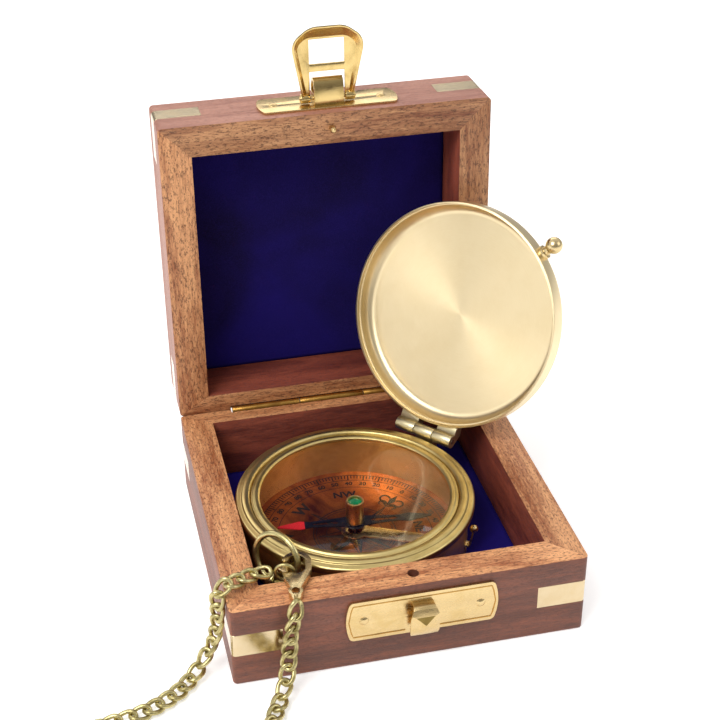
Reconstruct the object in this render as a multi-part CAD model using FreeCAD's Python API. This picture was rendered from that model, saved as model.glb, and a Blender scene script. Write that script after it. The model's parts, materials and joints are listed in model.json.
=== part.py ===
import FreeCAD, Part
import math
import os
from FreeCAD import Vector

# Lidded brass pocket compass in a hinged hardwood box, with its ring, clasp and chain.
# Millimetres, +Z up.  The origin is the centre of the box's underside and -Y is the front.
# Both lids are drawn shut and then turned open, because the open set is the rest position.

# ---- driving dimensions: the box ----
BOX_W = 106.0            # outside width, X
BOX_D = 102.0            # outside depth, Y
BASE_H = 27.0
LID_H = 23.0
WALL = 10.0              # front and side boards
BACK_WALL = 6.5
CORNER_R = 1.4           # rounding of the upright corners
EDGE_R = 0.7             # rounding of the outer long edges
BOTTOM_T = 4.8
TOP_T = 4.0
VELVET_T = 1.2
LINING_T = 0.8
FIT = 0.1                # gap round each glued-in lining

# ---- driving dimensions: the compass ----
CASE_X, CASE_Y = -5.5, -2.2
CASE_R = 35.5
CASE_WALL = 2.0
CASE_TOP = 22.4
BEZEL_R = 37.4
HINGE_AZ = 41.3          # direction from the case's axis to its hinge; dial north points there
HINGE_R = 40.2
HINGE_Z = 25.9
BARREL_R = 2.2
COVER_R = 36.8
COVER_RIM_Z = 25.6
COVER_TOP_Z = 33.0

# ---- driving dimensions: rest angles and fittings ----
LID_OPEN = 92.1
COVER_OPEN = 110.5
LID_AXIS_Y = BOX_D / 2
LID_AXIS_Z = BASE_H - 0.3
LID_BARREL_R = 1.4
LID_HINGE_X = (-35.5, -12.2, 9.9, 33.5)
BASE_PLATE_X = 2.85      # centres of the catch's pieces, a little right of the box's middle
LID_PLATE_X = 2.0
NOSE_X = 2.75
HASP_X = 1.8
CHAIN_D = 5.2            # width over the links

PIVOT_GAP = 0.05         # radial running clearance of every hinge pin


def box(x0, y0, z0, x1, y1, z1):
    return Part.makeBox(x1 - x0, y1 - y0, z1 - z0, Vector(x0, y0, z0))


def cylinder(start, direction, radius, length):
    return Part.makeCylinder(radius, length, Vector(*start), Vector(*direction))


def prism(points, push):
    """Extrude a closed outline of 3-D points along the vector push."""
    ring = [Vector(*p) for p in points]
    return Part.Face(Part.makePolygon(ring + ring[:1])).extrude(Vector(*push))


def lathe(profile):
    """Turn a closed (radius, z) outline about the Z axis."""
    ring = [Vector(r, 0, z) for r, z in profile]
    face = Part.Face(Part.makePolygon(ring + ring[:1]))
    return face.revolve(Vector(0, 0, 0), Vector(0, 0, 1), 360)


def cut(shape, *tools):
    for tool in tools:
        shape = shape.cut(tool)
    return shape


def join(*shapes):
    whole = shapes[0]
    for other in shapes[1:]:
        whole = whole.fuse(other)
    return whole.removeSplitter()


def turned(shape, centre, axis, degrees):
    copy = shape.copy()
    copy.rotate(Vector(*centre), Vector(*axis), degrees)
    return copy


def moved(shape, x, y, z):
    copy = shape.copy()
    copy.translate(Vector(x, y, z))
    return copy


def save(node, *solids):
    shape = solids[0] if len(solids) == 1 else Part.makeCompound(list(solids))
    if not shape.isValid():
        raise ValueError("not valid: " + node)
    shape.exportStep("parts/" + node + ".step")
    low, high = shape.BoundBox.ZMin, shape.BoundBox.ZMax
    print("%-24s %2d solid  %9.2f mm3  z %6.2f to %6.2f" % (node, len(shape.Solids), shape.Volume, low, high))


def open_lid(shape):
    return turned(shape, (0, LID_AXIS_Y, LID_AXIS_Z), (1, 0, 0), -LID_OPEN)


def in_case(shape, azimuth=0.0):
    """Take a shape drawn about the case's axis, with its hinge towards +X, to its place in the box."""
    return moved(turned(shape, (0, 0, 0), (0, 0, 1), HINGE_AZ + azimuth), CASE_X, CASE_Y, 0)


def open_cover(shape):
    return turned(shape, (HINGE_R, 0, HINGE_Z), (0, 1, 0), COVER_OPEN)


# ---- the box's boards ----
HALF_W, HALF_D = BOX_W / 2, BOX_D / 2
POCKET_X = HALF_W - WALL
POCKET_FRONT = -HALF_D + WALL
POCKET_BACK = HALF_D - BACK_WALL


def rounded_block(inset, z0, z1):
    """The box's outer block, drawn in by inset, with rounded upright corners."""
    block = box(-HALF_W + inset, -HALF_D + inset, z0, HALF_W - inset, HALF_D - inset, z1)
    upright = [e for e in block.Edges if abs(e.tangentAt(e.FirstParameter).z) > 0.9]
    return block.makeFillet(CORNER_R, upright)


def frame_ring(z0, z1, soft_z):
    """Four walls in one piece; the outer edges at height soft_z are eased."""
    block = rounded_block(0, z0, z1)
    soft = [e for e in block.Edges if abs(e.BoundBox.ZMin - soft_z) < 1e-6 and e.BoundBox.ZLength < 1e-6]
    block = block.makeFillet(EDGE_R, soft)
    return block.cut(box(-POCKET_X, POCKET_FRONT, z0 - 1, POCKET_X, POCKET_BACK, z1 + 1))


def mitre_wedge(side, z0, z1):
    """The room of one board: it ends on the lines from the pocket's corners through the box's corners."""
    inner = {"left": -POCKET_X, "right": POCKET_X, "front": POCKET_FRONT, "back": POCKET_BACK}
    reach = 1.5
    corners = {}
    for across in ("left", "right"):
        for along in ("front", "back"):
            ox = math.copysign(HALF_W, inner[across])
            oy = math.copysign(HALF_D, inner[along])
            ix, iy = inner[across], inner[along]
            corners[across, along] = ((ix, iy), (ix + reach * (ox - ix), iy + reach * (oy - iy)))
    if side in ("front", "back"):
        a, b = corners["left", side], corners["right", side]
    else:
        a, b = corners[side, "front"], corners[side, "back"]
    outline = [a[0], a[1], b[1], b[0]]
    return prism([(x, y, z0 - 1) for x, y in outline], (0, 0, z1 - z0 + 2))


# brass inlays let into the upright corners
INLAY_T, INLAY_H, INLAY_LEG = 1.2, 7.7, 15.0


def corner_inlays(mid_z):
    """Four angle strips, flush with the wood."""
    z0, z1 = mid_z - INLAY_H / 2, mid_z + INLAY_H / 2
    band = rounded_block(0, z0, z1).cut(rounded_block(INLAY_T, z0 - 1, z1 + 1))
    strips = []
    for sx in (-1, 1):
        for sy in (-1, 1):
            x0, x1 = sorted((sx * (HALF_W - INLAY_LEG), sx * (HALF_W + 1)))
            y0, y1 = sorted((sy * (HALF_D - INLAY_LEG), sy * (HALF_D + 1)))
            strips.append(band.common(box(x0, y0, z0 - 1, x1, y1, z1 + 1)))
    return strips


base_inlays = corner_inlays(14.5)
lid_inlays = corner_inlays(BASE_H + 13.0)

# ---- the box's hinge, on the back faces; the outer knuckles are the base's ----
LEAF_T, LEAF_H = 0.8, 9.0
SCREW_X = (-27.0, -1.0, 25.0)
knuckle_ends = list(zip(LID_HINGE_X[:-1], LID_HINGE_X[1:]))
KNUCKLE_GAP = 0.15


def hinge_barrel(index, radius, gap=KNUCKLE_GAP):
    x0, x1 = knuckle_ends[index]
    return cylinder((x0 + gap, LID_AXIS_Y, LID_AXIS_Z), (1, 0, 0), radius, x1 - x0 - 2 * gap)


def hinge_leaf(knuckles, up):
    """One leaf with its knuckles; up is +1 for the lid's leaf and -1 for the base's."""
    near = LID_AXIS_Z + up * (LID_BARREL_R + 0.3)
    far = LID_AXIS_Z + up * (LID_BARREL_R + LEAF_H)
    z0, z1 = sorted((near, far))
    leaf = box(LID_HINGE_X[0], HALF_D - LEAF_T, z0, LID_HINGE_X[-1], HALF_D, z1)
    for index in knuckles:
        x0, x1 = knuckle_ends[index]
        z0, z1 = sorted((LID_AXIS_Z, near + up * 0.2))
        web = box(x0 + KNUCKLE_GAP, HALF_D - LEAF_T, z0, x1 - KNUCKLE_GAP, HALF_D, z1)
        leaf = join(leaf, web, hinge_barrel(index, LID_BARREL_R))
    bore = cylinder((LID_HINGE_X[0] - 1, LID_AXIS_Y, LID_AXIS_Z), (1, 0, 0), LID_PIN_R + PIVOT_GAP,
                    LID_HINGE_X[-1] - LID_HINGE_X[0] + 2)
    return leaf.cut(bore)


def hinge_screws(up):
    """Countersunk wood screws, flush with the leaf, each with its slot."""
    z = LID_AXIS_Z + up * 6.2
    screws = []
    for x in SCREW_X:
        head = Part.makeCone(0.8, 1.7, LEAF_T, Vector(x, HALF_D - LEAF_T, z), Vector(0, 1, 0))
        shank = cylinder((x, HALF_D - 5.0, z), (0, 1, 0), 0.8, 5.0 - LEAF_T)
        slot = box(x - 2, HALF_D - 0.35, z - 0.2, x + 2, HALF_D + 1, z + 0.2)
        screws.append(join(head, shank).cut(slot))
    return screws


LID_PIN_R = 0.65
base_leaf = hinge_leaf((0, 2), -1)
lid_leaf = hinge_leaf((1,), 1)
base_screws = hinge_screws(-1)
lid_screws = hinge_screws(1)
barrel_groove = cylinder((LID_HINGE_X[0] - 0.3, LID_AXIS_Y, LID_AXIS_Z), (1, 0, 0), LID_BARREL_R + 0.25,
                         LID_HINGE_X[-1] - LID_HINGE_X[0] + 0.6)


def leaf_recess(up):
    z0, z1 = sorted((LID_AXIS_Z, LID_AXIS_Z + up * (LID_BARREL_R + LEAF_H)))
    return box(LID_HINGE_X[0], HALF_D - LEAF_T, z0, LID_HINGE_X[-1], HALF_D + 1, z1)


def solid_screws(screws):
    """The same screws without their slots, to cut their holes."""
    holes = []
    for screw in screws:
        centre = screw.BoundBox.Center
        holes.append(cylinder((centre.x, HALF_D - 5.0, centre.z), (0, 1, 0), 0.8, 5.0))
        sink = Vector(centre.x, HALF_D - LEAF_T, centre.z)
        holes.append(Part.makeCone(0.8, 1.7, LEAF_T, sink, Vector(0, 1, 0)))
    return holes


# ---- catch plates, nails and the locating pin, all on the front ----
PLATE_T = 0.8
BASE_PLATE = (BASE_PLATE_X, 17.1, 45.4, 14.0)             # centre X, centre Z, width, height
LID_PLATE = (LID_PLATE_X, BASE_H + 9.5, 44.8, 12.6)
NAIL_SPREAD = 17.4
FACE_Y = -HALF_D
PLATE_Y = FACE_Y - PLATE_T


def catch_plate(mid_x, mid_z, width, height):
    """A plate with bowed ends."""
    bow = 1.3
    x0, x1 = mid_x - width / 2, mid_x + width / 2
    z0, z1 = mid_z - height / 2, mid_z + height / 2
    places = ((x0 + bow, z0), (x1 - bow, z0), (x1 - bow, z1), (x0 + bow, z1))
    corners = [Vector(x, FACE_Y, z) for x, z in places]
    right, left = Vector(x1, FACE_Y, mid_z), Vector(x0, FACE_Y, mid_z)
    edges = [Part.makeLine(corners[0], corners[1]), Part.Arc(corners[1], right, corners[2]).toShape(),
             Part.makeLine(corners[2], corners[3]), Part.Arc(corners[3], left, corners[0]).toShape()]
    plate = Part.Face(Part.Wire(edges)).extrude(Vector(0, -PLATE_T, 0))
    upright = [e for e in plate.Edges if e.BoundBox.YLength > PLATE_T / 2]
    return plate.makeFillet(1.6, upright)


def nails(mid_x, mid_z):
    """Two round-headed brass nails."""
    pair = []
    for side in (-1, 1):
        x = mid_x + side * NAIL_SPREAD
        head = Part.makeSphere(2.0, Vector(x, PLATE_Y + 1.4, mid_z))
        head = head.common(box(x - 3, PLATE_Y - 2, mid_z - 3, x + 3, PLATE_Y, mid_z + 3))
        shank = cylinder((x, PLATE_Y - 0.2, mid_z), (0, 1, 0), 0.6, 7.0)
        pair.append(join(head, shank))
    return pair


base_plate = catch_plate(*BASE_PLATE)
lid_plate = catch_plate(*LID_PLATE)
base_nails = nails(*BASE_PLATE[:2])
lid_nails = nails(*LID_PLATE[:2])

# the catch's nose: a folded tab with a ridge for the hasp's window to snap over
NOSE_W = 8.8
NOSE_TOP, NOSE_RIDGE, NOSE_FOOT = 21.4, 19.0, 10.7
NOSE_OUT = 4.4


def catch_nose():
    half = NOSE_W / 2
    y = PLATE_Y
    side = [(y, NOSE_TOP), (y - 2.6, NOSE_TOP - 0.3), (y - NOSE_OUT, NOSE_RIDGE), (y - 2.2, NOSE_FOOT),
            (y, NOSE_FOOT)]
    outer = prism([(NOSE_X - half, a, b) for a, b in side], (NOSE_W, 0, 0))
    inner_side = [(y + 1, NOSE_TOP - 0.8), (y - 2.2, NOSE_TOP - 1.1), (y - NOSE_OUT + 0.9, NOSE_RIDGE - 0.1),
                  (y - 1.3, NOSE_FOOT - 1), (y + 1, NOSE_FOOT - 1)]
    inner = prism([(NOSE_X - half - 1, a, b) for a, b in inner_side], (NOSE_W + 2, 0, 0))
    return outer.cut(inner)


nose = catch_nose()

# ---- the hasp, on a pin held by the lid plate's tongue ----
HASP_Y = PLATE_Y - 1.75          # pivot, in front of the plate
HASP_Z = BASE_H + 7.8
HASP_PIN_R = 0.75
EAR_R = 1.5
HASP_T = 0.8
HASP_ROOT, HASP_WIDE, HASP_REACH, HASP_TIP = 8.7, 11.5, 18.0, 23.6   # its open rim
FLAT_IN, FLAT_REACH, FLAT_TIP = 1.3, 16.9, 19.9                      # its flat, set back from the rim
WINDOW_HALF = 5.6
WINDOW = (10.9, 18.8)            # distances from the pivot
FOOT_SLOT = (1.0, 8.5)
FLANGE = 2.0


def tongue():
    """The strip that rises from the lid plate, folds over and is rolled round the hasp's pin."""
    y, half = PLATE_Y, 4.7
    outside = [(y, HASP_Z + 3.7), (y - 5.6, HASP_Z + 3.1), (y - 7.9, HASP_Z + 1.6), (y - 8.5, HASP_Z - 0.4),
               (y - 7.6, HASP_Z - 2.0), (y - 5.6, HASP_Z - 2.7), (y, HASP_Z - 2.9)]
    inside = [(y - 3.6, HASP_Z + 2.3), (y - 5.4, HASP_Z + 2.1), (y - 7.2, HASP_Z + 0.9),
              (y - 7.4, HASP_Z - 0.3), (y - 6.8, HASP_Z - 1.3), (y - 5.4, HASP_Z - 1.8), (y - 3.6, HASP_Z - 1.9)]
    strip = prism([(HASP_X - half, a, b) for a, b in outside], (2 * half, 0, 0))
    hollow = prism([(HASP_X - half - 1, a, b) for a, b in inside], (2 * half + 2, 0, 0))
    pin_hole = cylinder((HASP_X - 6, HASP_Y, HASP_Z), (1, 0, 0), HASP_PIN_R, 12)
    return cut(strip, hollow, pin_hole)


def hasp_outline(height, side_in, reach, tip):
    """One closed outline of the hasp at a height: X across, Y away from the pivot, with an arched tip."""
    foot = -0.8
    left, right = Vector(-HASP_WIDE + side_in, reach, height), Vector(HASP_WIDE - side_in, reach, height)
    root_l, root_r = Vector(-HASP_ROOT + side_in, foot, height), Vector(HASP_ROOT - side_in, foot, height)
    edges = [Part.Arc(left, Vector(0, tip, height), right).toShape(), Part.makeLine(right, root_r),
             Part.makeLine(root_r, root_l), Part.makeLine(root_l, left)]
    return Part.Wire(edges)


def hasp_pan(low, high, thinner):
    """The solid between the rim's outline and the flat's outline, drawn in by a wall."""
    rim = hasp_outline(low, thinner, HASP_REACH - thinner, HASP_TIP - thinner)
    flat = hasp_outline(high, FLAT_IN + thinner, FLAT_REACH - thinner, FLAT_TIP - thinner)
    return Part.makeLoft([rim, flat], True, True)


def hasp_shape():
    """A dished stamping with sloping sides and an arched, sloping tip, hollow side towards -Z."""
    tray = hasp_pan(-FLANGE - HASP_T / 2, HASP_T / 2, 0)
    hollow = join(hasp_pan(-FLANGE - HASP_T / 2 - 0.01, -HASP_T / 2, 0.8),
                  box(-HASP_ROOT + FLAT_IN + 0.8, -4, -6, HASP_ROOT - FLAT_IN - 0.8, 0, -HASP_T / 2))
    shell = tray.cut(hollow)
    # the flanges fade out towards the pivot
    fading = [(-20, -4, -0.9), (-20, 2.0, -1.0), (-20, 9.0, -2.6), (-20, 9.0, -6), (-20, -4, -6)]
    fade = prism(fading, (40, 0, 0))
    window = box(-WINDOW_HALF, WINDOW[0], -5, WINDOW_HALF, WINDOW[1], 5)
    foot = box(-WINDOW_HALF, -3, -5, WINDOW_HALF, FOOT_SLOT[1], 5)
    ears = [cylinder((x, 0, 0), (1, 0, 0), EAR_R, HASP_ROOT - WINDOW_HALF) for x in (-HASP_ROOT, WINDOW_HALF)]
    bore = cylinder((-20, 0, 0), (1, 0, 0), HASP_PIN_R + PIVOT_GAP, 40)
    return join(cut(shell, fade, window, foot), *ears).cut(bore)


def place_hasp(shape):
    """Stand the flat hasp straight out from the front of the shut lid, hollow side down."""
    return moved(turned(shape, (0, 0, 0), (0, 0, 1), 180), HASP_X, HASP_Y, HASP_Z)


tongue_shape = tongue()
hasp = place_hasp(hasp_shape())
hasp_pin = cylinder((HASP_X - HASP_ROOT - 0.3, HASP_Y, HASP_Z), (1, 0, 0), HASP_PIN_R, 2 * HASP_ROOT + 0.6)

LOCATE_X, LOCATE_Y = 1.4, -46.0
locating_pin = join(cylinder((LOCATE_X, LOCATE_Y, BASE_H - 2.2), (0, 0, 1), 1.0, 8.2),
                    Part.makeCone(0.5, 1.0, 0.8, Vector(LOCATE_X, LOCATE_Y, BASE_H - 3.0), Vector(0, 0, 1)))
locating_hole = cylinder((LOCATE_X, LOCATE_Y, BASE_H - 5), (0, 0, 1), 1.7, 6)

# ---- save the box base ----
base_ring = frame_ring(0, BASE_H, 0)
base_cuts = base_inlays + [barrel_groove, leaf_recess(-1), locating_hole] + base_nails
base_cuts += solid_screws(base_screws)
for side in ("front", "back", "left", "right"):
    board = base_ring.common(mitre_wedge(side, 0, BASE_H))
    save("base_%s_board" % side, cut(board, *base_cuts))
save("base_bottom_panel", box(-POCKET_X, POCKET_FRONT, 0, POCKET_X, POCKET_BACK, BOTTOM_T))
save("base_velvet", box(-POCKET_X + FIT, POCKET_FRONT + FIT, BOTTOM_T, POCKET_X - FIT, POCKET_BACK - FIT,
                        BOTTOM_T + VELVET_T))
save("base_corner_inlays", *base_inlays)
save("base_hinge_leaf", cut(base_leaf, *solid_screws(base_screws)))
save("base_hinge_screws", *base_screws)
save("box_hinge_pin", cylinder((LID_HINGE_X[0] + 0.1, LID_AXIS_Y, LID_AXIS_Z), (1, 0, 0), LID_PIN_R,
                               LID_HINGE_X[-1] - LID_HINGE_X[0] - 0.2))
save("catch_plate", cut(base_plate, *base_nails))
save("catch_nose", nose)
save("catch_plate_nails", *base_nails)

# ---- save the box lid ----
lid_ring = frame_ring(BASE_H, BASE_H + LID_H, BASE_H + LID_H)
lid_cuts = lid_inlays + [barrel_groove, leaf_recess(1), locating_pin] + lid_nails + solid_screws(lid_screws)
for side in ("front", "back", "left", "right"):
    board = lid_ring.common(mitre_wedge(side, BASE_H, BASE_H + LID_H))
    save("lid_%s_board" % side, open_lid(cut(board, *lid_cuts)))
LID_CEILING = BASE_H + LID_H - TOP_T
lid_top = box(-POCKET_X, POCKET_FRONT, LID_CEILING, POCKET_X, POCKET_BACK, BASE_H + LID_H)
save("lid_top_panel", open_lid(lid_top))
save("lid_velvet", open_lid(box(-POCKET_X + FIT, POCKET_FRONT + FIT, LID_CEILING - LINING_T, POCKET_X - FIT,
                                POCKET_BACK - FIT, LID_CEILING)))
save("lid_corner_inlays", *[open_lid(s) for s in lid_inlays])
save("lid_hinge_leaf", open_lid(cut(lid_leaf, *solid_screws(lid_screws))))
save("lid_hinge_screws", *[open_lid(s) for s in lid_screws])
save("locating_pin", open_lid(locating_pin))
save("hasp_plate", open_lid(cut(lid_plate, *lid_nails)))
save("hasp_tongue", open_lid(tongue_shape))
save("hasp_plate_nails", *[open_lid(s) for s in lid_nails])
save("hasp_pin", open_lid(hasp_pin))
save("hasp", open_lid(hasp))

# ---- the compass, drawn about its own axis ----
VELVET_TOP = BOTTOM_T + VELVET_T
FLOOR_T = 1.0
CASE_IN = CASE_R - CASE_WALL
DIAL_Z, DIAL_T = 9.4, 0.6
GLASS_Z, GLASS_T = 23.9, 1.1
OPENING_R = 29.6
LEVER_AZ = -66.1
LEVER_PIVOT_R, LEVER_Z = 34.5, 10.6
LEVER_T = 0.5
LEVER_PIN_R = 0.4
KNOB_AZ = -137.7
KNOB_Z = 29.7
BOW_AZ = 180.0

bowl = lathe([(0, VELVET_TOP), (CASE_R - 1.4, VELVET_TOP), (CASE_R - 0.4, VELVET_TOP + 0.4),
              (CASE_R, VELVET_TOP + 1.4), (CASE_R, CASE_TOP), (CASE_IN, CASE_TOP),
              (CASE_IN, VELVET_TOP + FLOOR_T), (0, VELVET_TOP + FLOOR_T)])
slot_half = 3.0
lever_slot = turned(box(CASE_IN - 1, -slot_half, LEVER_Z - 1.3, CASE_R + 1, slot_half, LEVER_Z + 1.9),
                    (0, 0, 0), (0, 0, 1), LEVER_AZ)
lever_pin = turned(cylinder((LEVER_PIVOT_R - 0.1, -3.9, LEVER_Z), (0, 1, 0), LEVER_PIN_R, 7.8),
                   (0, 0, 0), (0, 0, 1), LEVER_AZ)
BOW_Z = 18.6
bow_shank = cylinder((CASE_R - 1.2, 0, BOW_Z), (1, 0, 0), 1.5, 3.4)
bow_shank = turned(bow_shank, (0, 0, 0), (0, 0, 1), BOW_AZ)
save("case_bowl", in_case(cut(bowl, lever_slot, lever_pin, bow_shank)))
bezel = lathe([
    (CASE_IN, CASE_TOP), (BEZEL_R - 0.5, CASE_TOP), (BEZEL_R, CASE_TOP + 0.5), (BEZEL_R, 24.6), (36.9, 25.15),
    (35.4, 25.3), (35.2, 25.8), (34.2, 26.1), (33.3, 26.0), (32.9, 25.7), (32.5, 25.0), (32.5, GLASS_Z),
    (31.2, GLASS_Z), (31.2, CASE_TOP + 0.8), (CASE_IN, CASE_TOP + 0.8)])
save("bezel", in_case(bezel))
ring_z = GLASS_Z + GLASS_T
save("glass", in_case(lathe([(0, GLASS_Z), (32.4, GLASS_Z), (32.4, ring_z), (0, ring_z)])))
save("glass_retaining_ring", in_case(lathe([
    (OPENING_R, ring_z), (32.4, ring_z), (32.4, ring_z + 0.3), (31.7, ring_z + 0.35), (31.2, ring_z + 0.8),
    (30.3, ring_z + 0.8), (OPENING_R, ring_z + 0.4)])))
DIAL_R = CASE_IN - 0.06
save("dial_spacer_ring", in_case(lathe([
    (31.4, VELVET_TOP + FLOOR_T), (DIAL_R, VELVET_TOP + FLOOR_T), (DIAL_R, DIAL_Z - DIAL_T),
    (31.4, DIAL_Z - DIAL_T)])))
save("dial_plate", in_case(lathe([(1.6, DIAL_Z - DIAL_T), (DIAL_R, DIAL_Z - DIAL_T), (DIAL_R, DIAL_Z),
                                  (1.6, DIAL_Z)])))

# pivot, needle and its tall cap
TIP_Z, NEEDLE_Z, NEEDLE_T = 20.85, 14.0, 0.35
CAP_R, CAP_IN, CAP_TOP = 2.8, 2.25, 22.4
NEEDLE_AZ, NEEDLE_LEN = 133.0, 24.5
floor_z = VELVET_TOP + FLOOR_T
save("pivot_post", in_case(lathe([(0, floor_z), (2.4, floor_z), (2.4, floor_z + 0.8), (0.7, floor_z + 0.8),
                                  (0.7, TIP_Z - 2.2), (0.08, TIP_Z), (0, TIP_Z)])))


def needle_blade():
    """A long pointed blade: a swelling round the hub, a slot in each arm and a spade before the far point."""
    half = [(0, 2.6), (3.2, 2.4), (9.0, 1.7), (14.0, 1.35), (17.5, 2.0), (NEEDLE_LEN, 0.25)]
    outline = [(x, y) for x, y in half] + [(x, -y) for x, y in reversed(half)]
    tail = [(-x, -w) for x, w in half[1:]] + [(-x, w) for x, w in reversed(half[1:])]
    points = outline + tail
    blade = prism([(x, y, NEEDLE_Z) for x, y in points], (0, 0, NEEDLE_T))
    slots = []
    for side in (-1, 1):
        slot = [(side * 4.6, 0.0), (side * 6.0, 0.75), (side * 13.0, 0.5), (side * 14.0, 0.0),
                (side * 13.0, -0.5), (side * 6.0, -0.75)]
        slots.append(prism([(x, y, NEEDLE_Z - 1) for x, y in slot], (0, 0, 3)))
    hole = cylinder((0, 0, NEEDLE_Z - 1), (0, 0, 1), 1.6, 3)
    return cut(blade, hole, *slots)


save("needle_blade", in_case(needle_blade(), NEEDLE_AZ))
hub_z, cap_z = NEEDLE_Z - 0.4, NEEDLE_Z + NEEDLE_T
save("needle_hub", in_case(lathe([(1.6, hub_z), (3.6, hub_z), (3.6, NEEDLE_Z), (1.6, NEEDLE_Z)])))
save("needle_cap", in_case(lathe([(CAP_IN, cap_z), (CAP_R, cap_z), (CAP_R, CAP_TOP), (CAP_IN, CAP_TOP)])))
save("cap_jewel", in_case(lathe([(0, TIP_Z + 0.05), (CAP_IN, TIP_Z - 0.1), (CAP_IN, TIP_Z + 0.8),
                                 (0, TIP_Z + 0.8)])))

# the lever that lifts the needle off its pivot
BALL_R, BALL_OUT, BALL_UP = 1.35, 37.7, 16.9
EYE_R, EYE_HOLE = 4.3, 2.3
CURL_R = 0.95


def finger_piece():
    """The bent outer end of the lever, narrowing upwards to the ball."""
    side = [(LEVER_PIVOT_R, LEVER_Z - 0.3), (36.5, LEVER_Z - 0.3), (37.0, LEVER_Z + 0.2),
            (BALL_OUT + 0.25, BALL_UP), (BALL_OUT - 0.25, BALL_UP), (36.5, LEVER_Z + 0.6),
            (36.2, LEVER_Z + 0.3), (LEVER_PIVOT_R, LEVER_Z + 0.3)]
    sheet = prism([(x, -2, z) for x, z in side], (0, 4, 0))
    front = prism([(30, -1.3, LEVER_Z - 2), (30, -1.3, LEVER_Z + 1), (30, -0.35, BALL_UP),
                   (30, 0.35, BALL_UP), (30, 1.3, LEVER_Z + 1), (30, 1.3, LEVER_Z - 2)], (12, 0, 0))
    return sheet.common(front)


z_low = LEVER_Z - LEVER_T / 2
eye = cylinder((0, 0, z_low), (0, 0, 1), EYE_R, LEVER_T)
arm = prism([(2.5, -2.6, z_low), (2.5, 2.6, z_low), (30.5, 2.1, z_low), (LEVER_PIVOT_R, 1.6, z_low),
             (LEVER_PIVOT_R, -1.6, z_low), (30.5, -2.1, z_low)], (0, 0, LEVER_T))
curl = cylinder((LEVER_PIVOT_R - 0.1, -1.8, LEVER_Z), (0, 1, 0), CURL_R, 3.6)
lever = join(eye, arm, curl, finger_piece())
lever = cut(lever, cylinder((0, 0, z_low - 1), (0, 0, 1), EYE_HOLE, 3),
            cylinder((LEVER_PIVOT_R - 0.1, -5, LEVER_Z), (0, 1, 0), LEVER_PIN_R + PIVOT_GAP, 10))
ball = Part.makeSphere(BALL_R, Vector(BALL_OUT, 0, BALL_UP))
save("lifter_lever", in_case(lever.cut(ball), LEVER_AZ))
save("lifter_ball", in_case(ball, LEVER_AZ))
save("lifter_pivot_pin", in_case(lever_pin))

# ---- the compass's hinge and cover ----
KNUCKLE = 7.0
CASE_PIN_R = 0.9
half_knuckle = KNUCKLE / 2
pin_bore = cylinder((HINGE_R, -20, HINGE_Z), (0, 1, 0), CASE_PIN_R + PIVOT_GAP, 40)
bracket = prism([(35.0, -half_knuckle, 15.6), (38.4, -half_knuckle, 15.6), (42.3, -half_knuckle, 19.5),
                 (HINGE_R + BARREL_R, -half_knuckle, HINGE_Z), (HINGE_R - 0.6, -half_knuckle, HINGE_Z),
                 (HINGE_R - 0.6, -half_knuckle, 21.9), (HINGE_R - 1.6, -half_knuckle, 20.9),
                 (35.0, -half_knuckle, 20.9)], (0, KNUCKLE, 0))
bracket = join(bracket, cylinder((HINGE_R, -half_knuckle, HINGE_Z), (0, 1, 0), BARREL_R, KNUCKLE))
case_cylinder = cylinder((0, 0, 0), (0, 0, 1), CASE_R, 40)
save("case_hinge_bracket", in_case(cut(bracket, case_cylinder, pin_bore)))
save("compass_hinge_pin", in_case(cylinder((HINGE_R, -1.5 * KNUCKLE - 0.1, HINGE_Z), (0, 1, 0), CASE_PIN_R,
                                           3 * KNUCKLE + 0.2)))

cover = lathe([(COVER_R, COVER_RIM_Z), (COVER_R, 31.2), (36.4, 32.3), (35.3, COVER_TOP_Z), (0, COVER_TOP_Z),
               (0, COVER_TOP_Z - 0.9), (33.6, COVER_TOP_Z - 0.9), (35.0, 31.4), (35.6, 30.2), (35.6, 27.3),
               (36.0, 27.0), (36.0, COVER_RIM_Z)])
ears = []
for side in (-1, 1):
    y0, y1 = sorted((side * (half_knuckle + KNUCKLE_GAP), side * 1.5 * KNUCKLE))
    lean = BARREL_R * math.sqrt(0.5)
    strap = prism([(35.5, y0, 27.0), (38.0, y0, 26.4), (HINGE_R, y0, HINGE_Z),
                   (HINGE_R + lean, y0, HINGE_Z + lean), (HINGE_R + 2 * lean - 4.7, y0, 30.6),
                   (35.5, y0, 30.6)], (0, y1 - y0, 0))
    ears.append(join(strap, cylinder((HINGE_R, y0, HINGE_Z), (0, 1, 0), BARREL_R, y1 - y0)))
cover_cylinder = cylinder((0, 0, 0), (0, 0, 1), COVER_R, 60)
save("cover_hinge_knuckles", *[in_case(open_cover(cut(e, cover_cylinder, pin_bore))) for e in ears])
knob = join(cylinder((COVER_R - 1.0, 0, KNOB_Z), (1, 0, 0), 2.3, 2.3),
            cylinder((COVER_R, 0, KNOB_Z), (1, 0, 0), 1.5, 3.0),
            Part.makeSphere(2.7, Vector(41.5, 0, KNOB_Z)))
knob = turned(knob, (0, 0, 0), (0, 0, 1), KNOB_AZ)
save("cover_knob", in_case(open_cover(knob)))
save("compass_cover", in_case(open_cover(cover.cut(knob))))

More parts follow.
